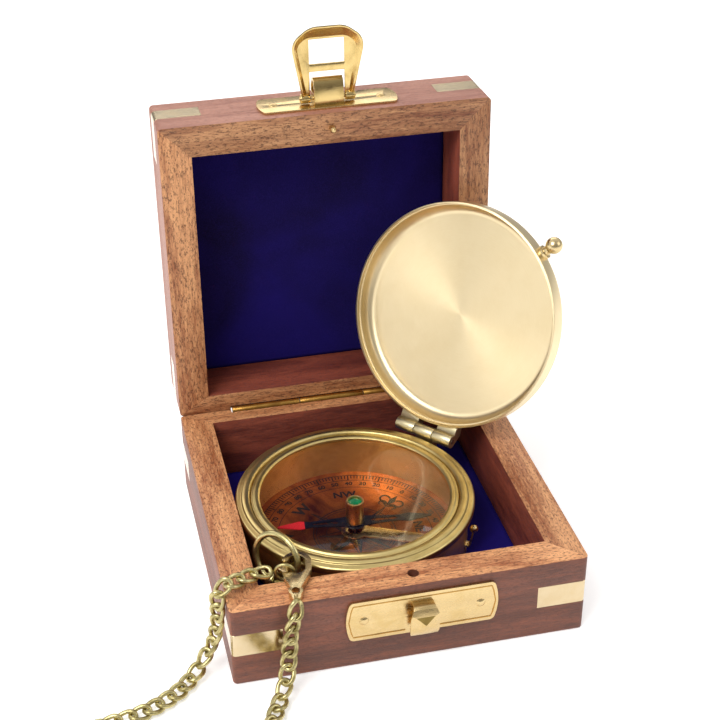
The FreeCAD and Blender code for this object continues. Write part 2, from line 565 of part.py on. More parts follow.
# ---- bow, jump ring and clasp ----
BOW_HOLE_R, BOW_REACH = 1.5, 41.9
RING_R, RING_WIRE = 7.75, 0.95
RING_TILT = 12.0
RING_CENTRE = (-35.5, -29.7, 26.4)
lug = join(cylinder((BOW_REACH, -1.1, BOW_Z + 0.3), (0, 1, 0), 2.7, 2.2),
           box(CASE_R + 2.0, -1.1, BOW_Z - 1.6, BOW_REACH, 1.1, BOW_Z + 1.6))
lug = lug.cut(cylinder((BOW_REACH, -3, BOW_Z + 0.3), (0, 1, 0), BOW_HOLE_R, 6))
bow = join(cylinder((CASE_R - 1.2, 0, BOW_Z), (1, 0, 0), 1.5, 3.4), lug)
save("bow", in_case(bow, BOW_AZ))
tilt = math.radians(RING_TILT)
ring_way = math.radians(HINGE_AZ + BOW_AZ)
ring_axis = Vector(math.cos(tilt) * math.cos(ring_way), math.cos(tilt) * math.sin(ring_way), math.sin(tilt))
save("jump_ring", Part.makeTorus(RING_R, RING_WIRE, Vector(*RING_CENTRE), ring_axis))

# the clasp lies on the front rim: U runs from its eye to its hook, V to its gate side
CLASP_EYE = (-33.5, -48.5, 28.5)
CLASP_AZ = 77.5
CLASP_T = 2.4
HOOK_IN, HOOK_OUT, HOOK_HALF_IN, HOOK_HALF_OUT = 7.4, 16.95, 2.6, 4.3
GATE_PIVOT = (6.3, 2.6)
GATE_PIN_R = 0.4


def stadium(u0, u1, half, thickness):
    """A flat bar from u0 to u1 with round ends, centred on Z = 0."""
    low = -thickness / 2
    return join(box(u0 + half, -half, low, u1 - half, half, -low),
                cylinder((u0 + half, 0, low), (0, 0, 1), half, thickness),
                cylinder((u1 - half, 0, low), (0, 0, 1), half, thickness))


def place_clasp(shape):
    return moved(turned(shape, (0, 0, 0), (0, 0, 1), CLASP_AZ), *CLASP_EYE)


low = -CLASP_T / 2
loop = stadium(5.6, HOOK_OUT, HOOK_HALF_OUT, CLASP_T)
neck = prism([(0.8, -1.3, low), (0.8, 1.3, low), (7.6, 4.0, low), (7.6, -4.0, low)], (0, 0, CLASP_T))
clasp = join(loop, neck, cylinder((0, 0, low), (0, 0, 1), 2.1, CLASP_T))
gate_hole = box(7.9, 0, -3, 13.1, 6, 3)
gate_slot = box(4.6, 0.9, -0.75, 9, 6, 0.75)
gate_pin = cylinder((GATE_PIVOT[0], GATE_PIVOT[1], low), (0, 0, 1), GATE_PIN_R, CLASP_T)
clasp = cut(clasp, stadium(HOOK_IN, HOOK_OUT - 1.5, HOOK_HALF_IN, 6), cylinder((0, 0, -3), (0, 0, 1), 1.2, 6),
            gate_hole, gate_slot, gate_pin)
save("clasp_body", place_clasp(clasp))
gate = join(cylinder((GATE_PIVOT[0], GATE_PIVOT[1], -0.6), (0, 0, 1), 0.95, 1.2),
            prism([(6.2, 1.8, -0.6), (6.2, 3.5, -0.6), (9.6, 4.2, -0.6), (12.8, 4.0, -0.6), (12.8, 2.8, -0.6),
                   (9.0, 2.5, -0.6)], (0, 0, 1.2)),
            prism([(8.6, 3.8, -0.6), (10.6, 5.9, -0.6), (11.4, 5.6, -0.6), (10.8, 3.8, -0.6)], (0, 0, 1.2)))
gate = gate.cut(cylinder((GATE_PIVOT[0], GATE_PIVOT[1], -3), (0, 0, 1), GATE_PIN_R + PIVOT_GAP, 6))
save("clasp_gate", place_clasp(gate))
save("clasp_rivet", place_clasp(gate_pin))
spring = prism([(4.7, 1.0, -0.5), (5.0, 1.0, -0.5), (5.2, 2.9, -0.5), (4.95, 3.0, -0.5)], (0, 0, 1.0))
save("clasp_spring", place_clasp(spring))

# the ring on the chain's other end goes round the gate side of the clasp
END_RING_R, END_RING_WIRE = 2.75, 0.5
end_u, end_v = 9.1, 3.4
end_ring = Part.makeTorus(END_RING_R, END_RING_WIRE, Vector(end_u, end_v, 0), Vector(1, 0, 0))
save("chain_end_ring", place_clasp(end_ring))

# ---- the chain, a plain tube: from the end ring over the left rim, round on the floor, back to the eye ----
CHAIN_ROUTE = [
    (-38.7, -38.2, 29.7), (-42.6, -38.6, 30.3), (-47.0, -40.3, 30.6), (-51.5, -42.3, 30.8), (-53.6, -42.9, 30.1),
    (-55.3, -43.3, 28.7), (-56.4, -43.5, 26.8), (-56.9, -43.5, 24.3), (-57.2, -43.5, 20.4), (-57.7, -43.4, 15.4),
    (-58.6, -43.0, 10.7), (-59.8, -43.1, 7.3), (-61.4, -44.0, 4.7), (-63.4, -46.1, 3.0), (-66.0, -49.1, 2.7),
    (-69.3, -52.4, 2.7), (-74.6, -55.7, 2.7), (-80.8, -58.4, 2.7), (-89.5, -60.0, 2.7), (-101.5, -63.5, 2.7),
    (-114.0, -71.0, 2.7), (-121.5, -84.0, 2.7), (-121.0, -99.0, 2.7), (-112.0, -112.0, 2.7), (-97.0, -119.5, 2.7),
    (-80.0, -119.8, 2.7), (-65.5, -112.5, 2.7), (-55.5, -99.5, 2.7), (-50.7, -84.5, 2.7), (-46.0, -72.0, 2.7),
    (-42.8, -65.0, 2.7), (-40.6, -60.8, 2.75), (-39.2, -58.2, 3.9), (-38.1, -56.3, 6.6), (-37.4, -55.3, 10.3),
    (-36.9, -54.9, 15.2), (-36.1, -54.6, 20.6), (-35.2, -54.6, 24.9), (-34.5, -53.9, 27.8), (-34.1, -52.8, 29.8),
]


def cord_tube(route, diameter):
    """Straight runs joined by arcs of 0.45 of the shorter run over the tangent of half the turn."""
    points = [Vector(*p) for p in route]
    radii, edges, start = [], [], points[0]
    for before, here, after in zip(points, points[1:], points[2:]):
        back, ahead = (before - here), (after - here)
        reach = 0.45 * min(back.Length, ahead.Length)
        half_turn = (math.pi - back.getAngle(ahead)) / 2
        radii.append(reach / math.tan(half_turn))
        back.normalize()
        ahead.normalize()
        enter, leave = here + back * reach, here + ahead * reach
        inward = back + ahead
        inward.normalize()
        depth = radii[-1] / math.cos(half_turn) - radii[-1]
        edges.append(Part.LineSegment(start, enter).toShape())
        edges.append(Part.Arc(enter, here + inward * depth, leave).toShape())
        start = leave
    edges.append(Part.LineSegment(start, points[-1]).toShape())
    path = Part.Wire(edges)
    section = Part.Wire(Part.makeCircle(diameter / 2, points[0], points[1] - points[0]))
    tube = path.makePipeShell([section], True, False)
    area = math.pi * diameter ** 2 / 4
    filled = tube.Volume / (area * path.Length)
    print("chain length %.1f mm, volume / (section x length) = %.4f" % (path.Length, filled))
    print("chain radii", " ".join("%.1f" % r for r in radii))
    return tube


save("chain", cord_tube(CHAIN_ROUTE, CHAIN_D))
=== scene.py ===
"""A lidded brass pocket compass in its hinged hardwood box, with ring, clasp and curb chain."""

import json
import math

import bmesh
import bpy
from bpy.props import FloatProperty, FloatVectorProperty, IntProperty, PointerProperty
from mathutils import Matrix, Vector, noise

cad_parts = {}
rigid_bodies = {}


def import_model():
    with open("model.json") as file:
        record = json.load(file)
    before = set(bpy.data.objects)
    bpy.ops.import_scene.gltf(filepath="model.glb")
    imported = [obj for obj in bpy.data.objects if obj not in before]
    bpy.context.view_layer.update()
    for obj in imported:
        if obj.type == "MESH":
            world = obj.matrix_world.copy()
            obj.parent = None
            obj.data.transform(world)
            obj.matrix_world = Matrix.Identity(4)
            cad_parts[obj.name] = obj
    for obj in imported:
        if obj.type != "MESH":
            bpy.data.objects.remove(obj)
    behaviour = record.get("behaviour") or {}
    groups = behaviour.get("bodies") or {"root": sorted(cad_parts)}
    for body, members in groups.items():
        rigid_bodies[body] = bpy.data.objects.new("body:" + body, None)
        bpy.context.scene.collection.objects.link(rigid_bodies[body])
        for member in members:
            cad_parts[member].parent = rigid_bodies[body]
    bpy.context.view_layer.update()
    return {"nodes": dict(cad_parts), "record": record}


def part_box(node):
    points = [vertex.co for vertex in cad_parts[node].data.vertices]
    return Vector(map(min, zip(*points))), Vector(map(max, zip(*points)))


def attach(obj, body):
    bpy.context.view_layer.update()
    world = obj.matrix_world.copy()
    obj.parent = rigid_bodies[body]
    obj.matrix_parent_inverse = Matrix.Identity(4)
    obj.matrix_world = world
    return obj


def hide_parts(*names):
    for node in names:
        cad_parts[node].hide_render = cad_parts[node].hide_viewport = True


bl_info = {
    "name": "Boxed pocket compass",
    "version": (1, 0, 0),
    "blender": (4, 5, 0),
    "location": "View3D > Sidebar > Compass",
    "description": "Builds a brass pocket compass in its hardwood box over a fixed CAD frame",
    "category": "Object",
}

for stray in list(bpy.data.objects):
    bpy.data.objects.remove(stray)
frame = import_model()
RECORD = frame["record"]
BODY_OF = {node: body for body, nodes in RECORD["behaviour"]["bodies"].items() for node in nodes}
MM = 0.001


# ---- places: the case's own axis, the compass's cover and the box's lid ----
def corners(node):
    """The lowest and highest corners of a CAD node, in millimetres."""
    low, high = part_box(node)
    return Vector(low) / MM, Vector(high) / MM


case_low, case_high = corners("glass")
CASE = Vector(((case_low.x + case_high.x) / 2, (case_low.y + case_high.y) / 2, 0))
HINGE_AZ = math.radians(41.3)
JOINTS = {joint["name"]: joint for joint in RECORD["behaviour"]["joints"]}
LID_AXIS = Vector(JOINTS["box_lid_hinge"]["pos_m"]) / MM
COVER_AXIS = Vector(JOINTS["compass_lid_hinge"]["pos_m"]) / MM
COVER_WAY = Vector(JOINTS["compass_lid_hinge"]["axis"])
LID_OPEN = math.radians(92.1)
COVER_OPEN = math.radians(-JOINTS["compass_lid_hinge"]["range_deg"][0])


def about(point, axis, angle):
    """A turn about an axis through a point, as a matrix."""
    return Matrix.Translation(point) @ Matrix.Rotation(angle, 4, axis) @ Matrix.Translation(-point)


IN_CASE = Matrix.Translation(CASE) @ Matrix.Rotation(HINGE_AZ, 4, "Z")
COVER_UP = about(COVER_AXIS, COVER_WAY, COVER_OPEN) @ IN_CASE
LID_UP = about(LID_AXIS, Vector((1, 0, 0)), -LID_OPEN)
PLAIN = Matrix.Identity(4)
RIM_Z = corners("base_front_board")[1].z     # the joint between the shut base and lid
WALL_INSIDE = (43.2, -41.2, 44.7)            # faces nearer than this in X, and between these in Y, are inside
DIAL_TOP = 9.4                               # the height of the dial's face
INK = (DIAL_TOP + 0.01, DIAL_TOP + 0.05)     # the bottom and top of its infilled marks


# ---- sizes and colours that a user would change ----
def srgb(code):
    """An sRGB hex colour as the linear values that a shader takes."""
    values = [int(code[i:i + 2], 16) / 255 for i in (1, 3, 5)]
    return tuple(v / 12.92 if v <= 0.04045 else ((v + 0.055) / 1.055) ** 2.4 for v in values) + (1.0,)


def colour_setting(name, description, code):
    return FloatVectorProperty(name=name, description=description, size=4, subtype="COLOR", min=0, max=1,
                               default=srgb(code))


def length_setting(name, description, default, low, high):
    return FloatProperty(name=name, description=description, default=default, min=low, max=high, unit="LENGTH")


class BoxSettings(bpy.types.PropertyGroup):
    """The hardwood box."""
    edge: length_setting("Edge rounding", "Radius of the boards' sanded edges", 0.00045, 0.0001, 0.002)
    rim_light: colour_setting("Rim light", "Light colour of the rims' wood", "#e4a672")
    rim_dark: colour_setting("Rim dark", "Dark colour of the rims' wood", "#93512c")
    face_light: colour_setting("Face light", "Light colour of the outer faces", "#97573f")
    face_dark: colour_setting("Face dark", "Dark colour of the outer faces", "#643a2c")
    inside_light: colour_setting("Inside light", "Light colour inside", "#9c4e38")
    inside_dark: colour_setting("Inside dark", "Dark colour inside", "#642a20")
    velvet: colour_setting("Velvet", "Colour of the lid's velvet", "#1d1560")


class CompassSettings(bpy.types.PropertyGroup):
    """The brass compass."""
    steps: IntProperty(name="Steps", description="Facets round each turned part", default=160, min=48, max=256)
    edge: length_setting("Edge rounding", "Radius of the fittings' edges", 0.00012, 0.00002, 0.001)
    brass: colour_setting("Brass", "Colour of the polished brass", "#d9be8a")
    pale: colour_setting("Pale brass", "Colour of the spun cover", "#eedbb2")
    olive: colour_setting("Case brass", "Colour of the bezel", "#dcc688")
    dial: colour_setting("Dial", "Colour of the copper dial", "#cc7a42")


class ChainSettings(bpy.types.PropertyGroup):
    """The curb chain."""
    pitch: length_setting("Pitch", "Distance from link to link", 0.0043, 0.002, 0.02)
    width: length_setting("Width", "Width over a link", 0.0052, 0.002, 0.02)
    wire: length_setting("Wire", "Diameter of the wire", 0.0014, 0.0005, 0.004)
    brass: colour_setting("Chain brass", "Colour of the worn brass", "#cdc08a")


# ---- materials ----
def add_node(tree, kind, settings=None, inputs=None):
    """Add one node: settings are its properties, and each input is linked if it is a socket and set if not."""
    made = tree.nodes.new(kind)
    for key, value in (settings or {}).items():
        setattr(made, key, value)
    for key, value in (inputs or {}).items():
        if isinstance(value, bpy.types.NodeSocket):
            tree.links.new(value, made.inputs[key])
        else:
            made.inputs[key].default_value = value
    return made


def blank(name):
    """A new material with only its output."""
    finish = bpy.data.materials.new(name)
    finish.use_nodes = True
    finish.node_tree.nodes.clear()
    return finish, finish.node_tree


def close(tree, shader):
    """Link the shader to the material's output."""
    add_node(tree, "ShaderNodeOutputMaterial", None, {"Surface": shader.outputs[0]})


def oiled_wood(name, light, dark, along, opened, open_pores):
    """Oiled sheesham: reddish brown bands with short dark pores that run with the grain, and a low sheen."""
    finish, tree = blank(name)
    place = add_node(tree, "ShaderNodeTexCoord").outputs["Object"]
    upright = add_node(tree, "ShaderNodeMapping", None, {
        "Vector": place, "Rotation": (LID_OPEN if opened else 0.0, 0.0, 0.0)}).outputs[0]
    # pattern units are millimetres, drawn out along the grain
    long_way = (110.0, 1000.0, 1000.0) if along == "X" else (1000.0, 110.0, 1000.0)
    grain = add_node(tree, "ShaderNodeMapping", None, {"Vector": upright, "Scale": long_way}).outputs[0]
    pore_way = (330.0, 1000.0, 1000.0) if along == "X" else (1000.0, 330.0, 1000.0)
    pore_space = add_node(tree, "ShaderNodeMapping", None, {"Vector": upright, "Scale": pore_way}).outputs[0]
    # growth bands 5 to 8 mm wide
    bands = add_node(tree, "ShaderNodeTexNoise", None, {
        "Vector": grain, "Scale": 0.17, "Detail": 3.0, "Roughness": 0.55, "Distortion": 0.8}).outputs[0]
    # fibres 0.6 mm wide, drawn a little coarse so that they show
    fibres = add_node(tree, "ShaderNodeTexNoise", None, {
        "Vector": grain, "Scale": 1.6, "Detail": 5.0, "Roughness": 0.8}).outputs[0]
    # pores 0.5 mm wide and 1.5 mm long
    pores = add_node(tree, "ShaderNodeTexNoise", None, {
        "Vector": pore_space, "Scale": 2.0, "Detail": 3.0, "Roughness": 0.75}).outputs[0]
    tone = add_node(tree, "ShaderNodeMath", {"operation": "MULTIPLY_ADD"}, {0: fibres, 1: 1.1, 2: bands}).outputs[0]
    dye = add_node(tree, "ShaderNodeMapRange", None, {
        "Value": tone, "From Min": 0.82, "From Max": 1.26}).outputs[0]
    colour = add_node(tree, "ShaderNodeMix", {"data_type": "RGBA"}, {0: dye, 6: dark, 7: light}).outputs[2]
    holes = add_node(tree, "ShaderNodeMapRange", None, {
        "Value": pores, "From Min": 0.52, "From Max": 0.62}).outputs[0]
    depth = add_node(tree, "ShaderNodeMath", {"operation": "MULTIPLY"}, {0: holes, 1: open_pores}).outputs[0]
    colour = add_node(tree, "ShaderNodeMix", {"data_type": "RGBA"}, {
        0: depth, 6: colour, 7: [v * 0.35 for v in dark[:3]] + [1.0]}).outputs[2]
    height = add_node(tree, "ShaderNodeMath", {"operation": "MULTIPLY_ADD"}, {
        0: holes, 1: -1.0, 2: fibres}).outputs[0]
    bump = add_node(tree, "ShaderNodeBump", None, {
        "Strength": 0.5, "Distance": 0.00015, "Height": height}).outputs[0]
    rough = add_node(tree, "ShaderNodeMapRange", None, {
        "Value": fibres, "From Min": 0.3, "From Max": 0.7, "To Min": 0.42, "To Max": 0.62}).outputs[0]
    shader = add_node(tree, "ShaderNodeBsdfPrincipled", None, {
        "Base Color": colour, "Roughness": rough, "Normal": bump, "IOR": 1.5, "Coat Weight": 0.08,
        "Coat Roughness": 0.3})
    close(tree, shader)
    return finish


def cotton_velvet(name, colour, deep):
    """Cotton velvet: a short deep pile that drinks light, paler where the nap is brushed over and at its edge."""
    finish, tree = blank(name)
    place = add_node(tree, "ShaderNodeTexCoord").outputs["Object"]
    # tufts 0.35 mm apart, drawn coarse enough to show
    pile = add_node(tree, "ShaderNodeTexNoise", None, {
        "Vector": place, "Scale": 2600.0, "Detail": 3.0, "Roughness": 0.7}).outputs[0]
    nap = add_node(tree, "ShaderNodeTexNoise", None, {
        "Vector": place, "Scale": 24.0, "Detail": 3.0, "Roughness": 0.5, "Distortion": 0.5}).outputs[0]
    tone = add_node(tree, "ShaderNodeMapRange", None, {"Value": nap, "From Min": 0.35, "From Max": 0.68}).outputs[0]
    base = add_node(tree, "ShaderNodeMix", {"data_type": "RGBA"}, {0: tone, 6: deep, 7: colour}).outputs[2]
    tips = add_node(tree, "ShaderNodeMapRange", None, {
        "Value": pile, "From Min": 0.4, "From Max": 0.8, "To Max": 0.35}).outputs[0]
    speckle = add_node(tree, "ShaderNodeMix", {"data_type": "RGBA"}, {
        0: tips, 6: base, 7: srgb("#2b2170")}).outputs[2]
    bump = add_node(tree, "ShaderNodeBump", None, {
        "Strength": 0.6, "Distance": 0.0002, "Height": pile}).outputs[0]
    shader = add_node(tree, "ShaderNodeBsdfPrincipled", None, {
        "Base Color": speckle, "Roughness": 1.0, "Normal": bump, "Specular IOR Level": 0.05, "Sheen Weight": 0.12,
        "Sheen Roughness": 0.4, "Sheen Tint": srgb("#3b36b8")})
    close(tree, shader)
    return finish


def polished_brass(name, colour, stain, rough=0.2, wear=0.5, cloud_mm=6.0):
    """Polished cast or rolled brass: bright yellow metal with fine rubbing marks and a thin brown tarnish."""
    finish, tree = blank(name)
    place = add_node(tree, "ShaderNodeTexCoord").outputs["Object"]
    cloud = add_node(tree, "ShaderNodeTexNoise", None, {
        "Vector": place, "Scale": 1000.0 / cloud_mm, "Detail": 4.0, "Roughness": 0.6, "Distortion": 0.4}).outputs[0]
    # rubbing marks 0.2 mm apart, long in one direction
    rubbed = add_node(tree, "ShaderNodeMapping", None, {
        "Vector": place, "Rotation": (0.3, 0.2, 0.5), "Scale": (400.0, 5200.0, 5200.0)}).outputs[0]
    marks = add_node(tree, "ShaderNodeTexNoise", None, {
        "Vector": rubbed, "Scale": 1.0, "Detail": 2.0, "Roughness": 0.6}).outputs[0]
    tarnish = add_node(tree, "ShaderNodeMapRange", None, {
        "Value": cloud, "From Min": 0.45, "From Max": 0.72, "To Max": wear}).outputs[0]
    tint = add_node(tree, "ShaderNodeMix", {"data_type": "RGBA"}, {0: tarnish, 6: colour, 7: stain}).outputs[2]
    mottle = add_node(tree, "ShaderNodeMath", {"operation": "ADD"}, {0: cloud, 1: marks}).outputs[0]
    shine = add_node(tree, "ShaderNodeMapRange", None, {
        "Value": mottle, "From Min": 0.7, "From Max": 1.3, "To Min": rough * 0.7, "To Max": rough * 1.6}).outputs[0]
    bump = add_node(tree, "ShaderNodeBump", None, {
        "Strength": 0.15, "Distance": 0.00005, "Height": marks}).outputs[0]
    shader = add_node(tree, "ShaderNodeBsdfPrincipled", None, {
        "Base Color": tint, "Metallic": 1.0, "Roughness": shine, "Normal": bump})
    close(tree, shader)
    return finish


def spun_brass(name, colour, stain, rough=0.3, lines=1.6, uneven=0.3, aniso=0.7):
    """Lathe-turned brass: fine rings left by the tool stretch each highlight into a fan from the centre."""
    finish, tree = blank(name)
    # the map runs round the part, and along its profile in millimetres
    turned_map = add_node(tree, "ShaderNodeUVMap", {"uv_map": "turning"}).outputs[0]
    rings = add_node(tree, "ShaderNodeMapping", None, {"Vector": turned_map, "Scale": (5.0, lines, 1.0)}).outputs[0]
    fine = add_node(tree, "ShaderNodeTexNoise", None, {
        "Vector": rings, "Scale": 4.0, "Detail": 4.0, "Roughness": 0.7}).outputs[0]
    place = add_node(tree, "ShaderNodeTexCoord").outputs["Object"]
    cloud = add_node(tree, "ShaderNodeTexNoise", None, {
        "Vector": place, "Scale": 70.0, "Detail": 5.0, "Roughness": 0.65, "Distortion": 0.4}).outputs[0]
    tarnish = add_node(tree, "ShaderNodeMapRange", None, {
        "Value": cloud, "From Min": 0.45, "From Max": 0.75, "To Max": uneven}).outputs[0]
    tint = add_node(tree, "ShaderNodeMix", {"data_type": "RGBA"}, {0: tarnish, 6: colour, 7: stain}).outputs[2]
    scored = add_node(tree, "ShaderNodeMapRange", None, {
        "Value": fine, "From Min": 0.4, "From Max": 0.75, "To Max": 0.22}).outputs[0]
    tint = add_node(tree, "ShaderNodeMix", {"data_type": "RGBA"}, {0: scored, 6: tint, 7: stain}).outputs[2]
    shine = add_node(tree, "ShaderNodeMapRange", None, {
        "Value": fine, "From Min": 0.3, "From Max": 0.7, "To Min": rough * 0.8, "To Max": rough * 1.25}).outputs[0]
    bump = add_node(tree, "ShaderNodeBump", None, {
        "Strength": 0.25, "Distance": 0.00004, "Height": fine}).outputs[0]
    way = add_node(tree, "ShaderNodeTangent", {"direction_type": "UV_MAP", "uv_map": "turning"}).outputs[0]
    shader = add_node(tree, "ShaderNodeBsdfPrincipled", None, {
        "Base Color": tint, "Metallic": 1.0, "Roughness": shine, "Normal": bump, "Anisotropic": aniso,
        "Tangent": way})
    close(tree, shader)
    return finish


def plated_steel(name, colour, rough=0.28):
    """Satin steel pin stock: grey metal, evenly dull."""
    finish, tree = blank(name)
    place = add_node(tree, "ShaderNodeTexCoord").outputs["Object"]
    cloud = add_node(tree, "ShaderNodeTexNoise", None, {
        "Vector": place, "Scale": 400.0, "Detail": 3.0, "Roughness": 0.6}).outputs[0]
    shine = add_node(tree, "ShaderNodeMapRange", None, {
        "Value": cloud, "From Min": 0.3, "From Max": 0.7, "To Min": rough * 0.8, "To Max": rough * 1.4}).outputs[0]
    spots = add_node(tree, "ShaderNodeMapRange", None, {
        "Value": cloud, "From Min": 0.5, "From Max": 0.8, "To Max": 0.4}).outputs[0]
    tint = add_node(tree, "ShaderNodeMix", {"data_type": "RGBA"}, {
        0: spots, 6: colour, 7: srgb("#4b463c")}).outputs[2]
    close(tree, add_node(tree, "ShaderNodeBsdfPrincipled", None, {
        "Base Color": tint, "Metallic": 1.0, "Roughness": shine}))
    return finish


def thin_coat(name, colour, worn, rough, grain_mm=1.0, metallic=0.0, wear=0.35, coat=0.0):
    """A thin coat over metal: lacquer, infill or blueing, with a soft gloss and faint rubbing."""
    finish, tree = blank(name)
    place = add_node(tree, "ShaderNodeTexCoord").outputs["Object"]
    cloud = add_node(tree, "ShaderNodeTexNoise", None, {
        "Vector": place, "Scale": 1000.0 / grain_mm, "Detail": 3.0, "Roughness": 0.6}).outputs[0]
    rubbing = add_node(tree, "ShaderNodeMapRange", None, {
        "Value": cloud, "From Min": 0.45, "From Max": 0.8, "To Max": wear}).outputs[0]
    tint = add_node(tree, "ShaderNodeMix", {"data_type": "RGBA"}, {0: rubbing, 6: colour, 7: worn}).outputs[2]
    shine = add_node(tree, "ShaderNodeMapRange", None, {
        "Value": cloud, "From Min": 0.3, "From Max": 0.7, "To Min": rough, "To Max": rough + 0.12}).outputs[0]
    close(tree, add_node(tree, "ShaderNodeBsdfPrincipled", None, {
        "Base Color": tint, "Metallic": metallic, "Roughness": shine, "Coat Weight": coat, "Coat Roughness": 0.05}))
    return finish


def clear_glass(name):
    """A clear flat watch glass: a window that lets nearly all light through and mirrors the rest."""
    finish, tree = blank(name)
    place = add_node(tree, "ShaderNodeTexCoord").outputs["Object"]
    dust = add_node(tree, "ShaderNodeTexNoise", None, {
        "Vector": place, "Scale": 220.0, "Detail": 3.0, "Roughness": 0.6}).outputs[0]
    film = add_node(tree, "ShaderNodeMapRange", None, {
        "Value": dust, "From Min": 0.4, "From Max": 0.8, "To Min": 0.02, "To Max": 0.05}).outputs[0]
    close(tree, add_node(tree, "ShaderNodeBsdfPrincipled", None, {
        "Base Color": srgb("#ffffff"), "Metallic": 1.0, "Roughness": film, "Alpha": 0.055}))
    return finish


def etched_copper(name, colour, deep):
    """A copper dial, lacquered and darkened in patches by its etching bath."""
    finish, tree = blank(name)
    place = add_node(tree, "ShaderNodeTexCoord").outputs["Object"]
    cloud = add_node(tree, "ShaderNodeTexNoise", None, {
        "Vector": place, "Scale": 60.0, "Detail": 5.0, "Roughness": 0.65, "Distortion": 0.8}).outputs[0]
    fine = add_node(tree, "ShaderNodeTexNoise", None, {
        "Vector": place, "Scale": 1400.0, "Detail": 3.0, "Roughness": 0.6}).outputs[0]
    heat = add_node(tree, "ShaderNodeMapRange", None, {
        "Value": cloud, "From Min": 0.38, "From Max": 0.64}).outputs[0]
    tint = add_node(tree, "ShaderNodeMix", {"data_type": "RGBA"}, {0: heat, 6: deep, 7: colour}).outputs[2]
    specks = add_node(tree, "ShaderNodeMapRange", None, {
        "Value": fine, "From Min": 0.5, "From Max": 0.8, "To Max": 0.35}).outputs[0]
    tint = add_node(tree, "ShaderNodeMix", {"data_type": "RGBA"}, {
        0: specks, 6: tint, 7: srgb("#3a1a12")}).outputs[2]
    bump = add_node(tree, "ShaderNodeBump", None, {
        "Strength": 0.2, "Distance": 0.00003, "Height": fine}).outputs[0]
    shine = add_node(tree, "ShaderNodeMapRange", None, {
        "Value": cloud, "From Min": 0.3, "From Max": 0.7, "To Min": 0.26, "To Max": 0.4}).outputs[0]
    close(tree, add_node(tree, "ShaderNodeBsdfPrincipled", None, {
        "Base Color": tint, "Metallic": 0.9, "Roughness": shine, "Normal": bump}))
    return finish


FINISHES = {}
# how pale each board's rim and outer face are, scaled board by board: the base's front rim palest, the lid's front
# and right rims darkest
BOARD_TONES = {"base_front_board": (1.25, 0.84), "base_back_board": (1.0, 0.9), "base_left_board": (1.12, 1.0),
               "base_right_board": (1.0, 0.9), "lid_front_board": (0.68, 1.0), "lid_back_board": (0.85, 0.9),
               "lid_left_board": (0.95, 1.0), "lid_right_board": (0.66, 0.9)}


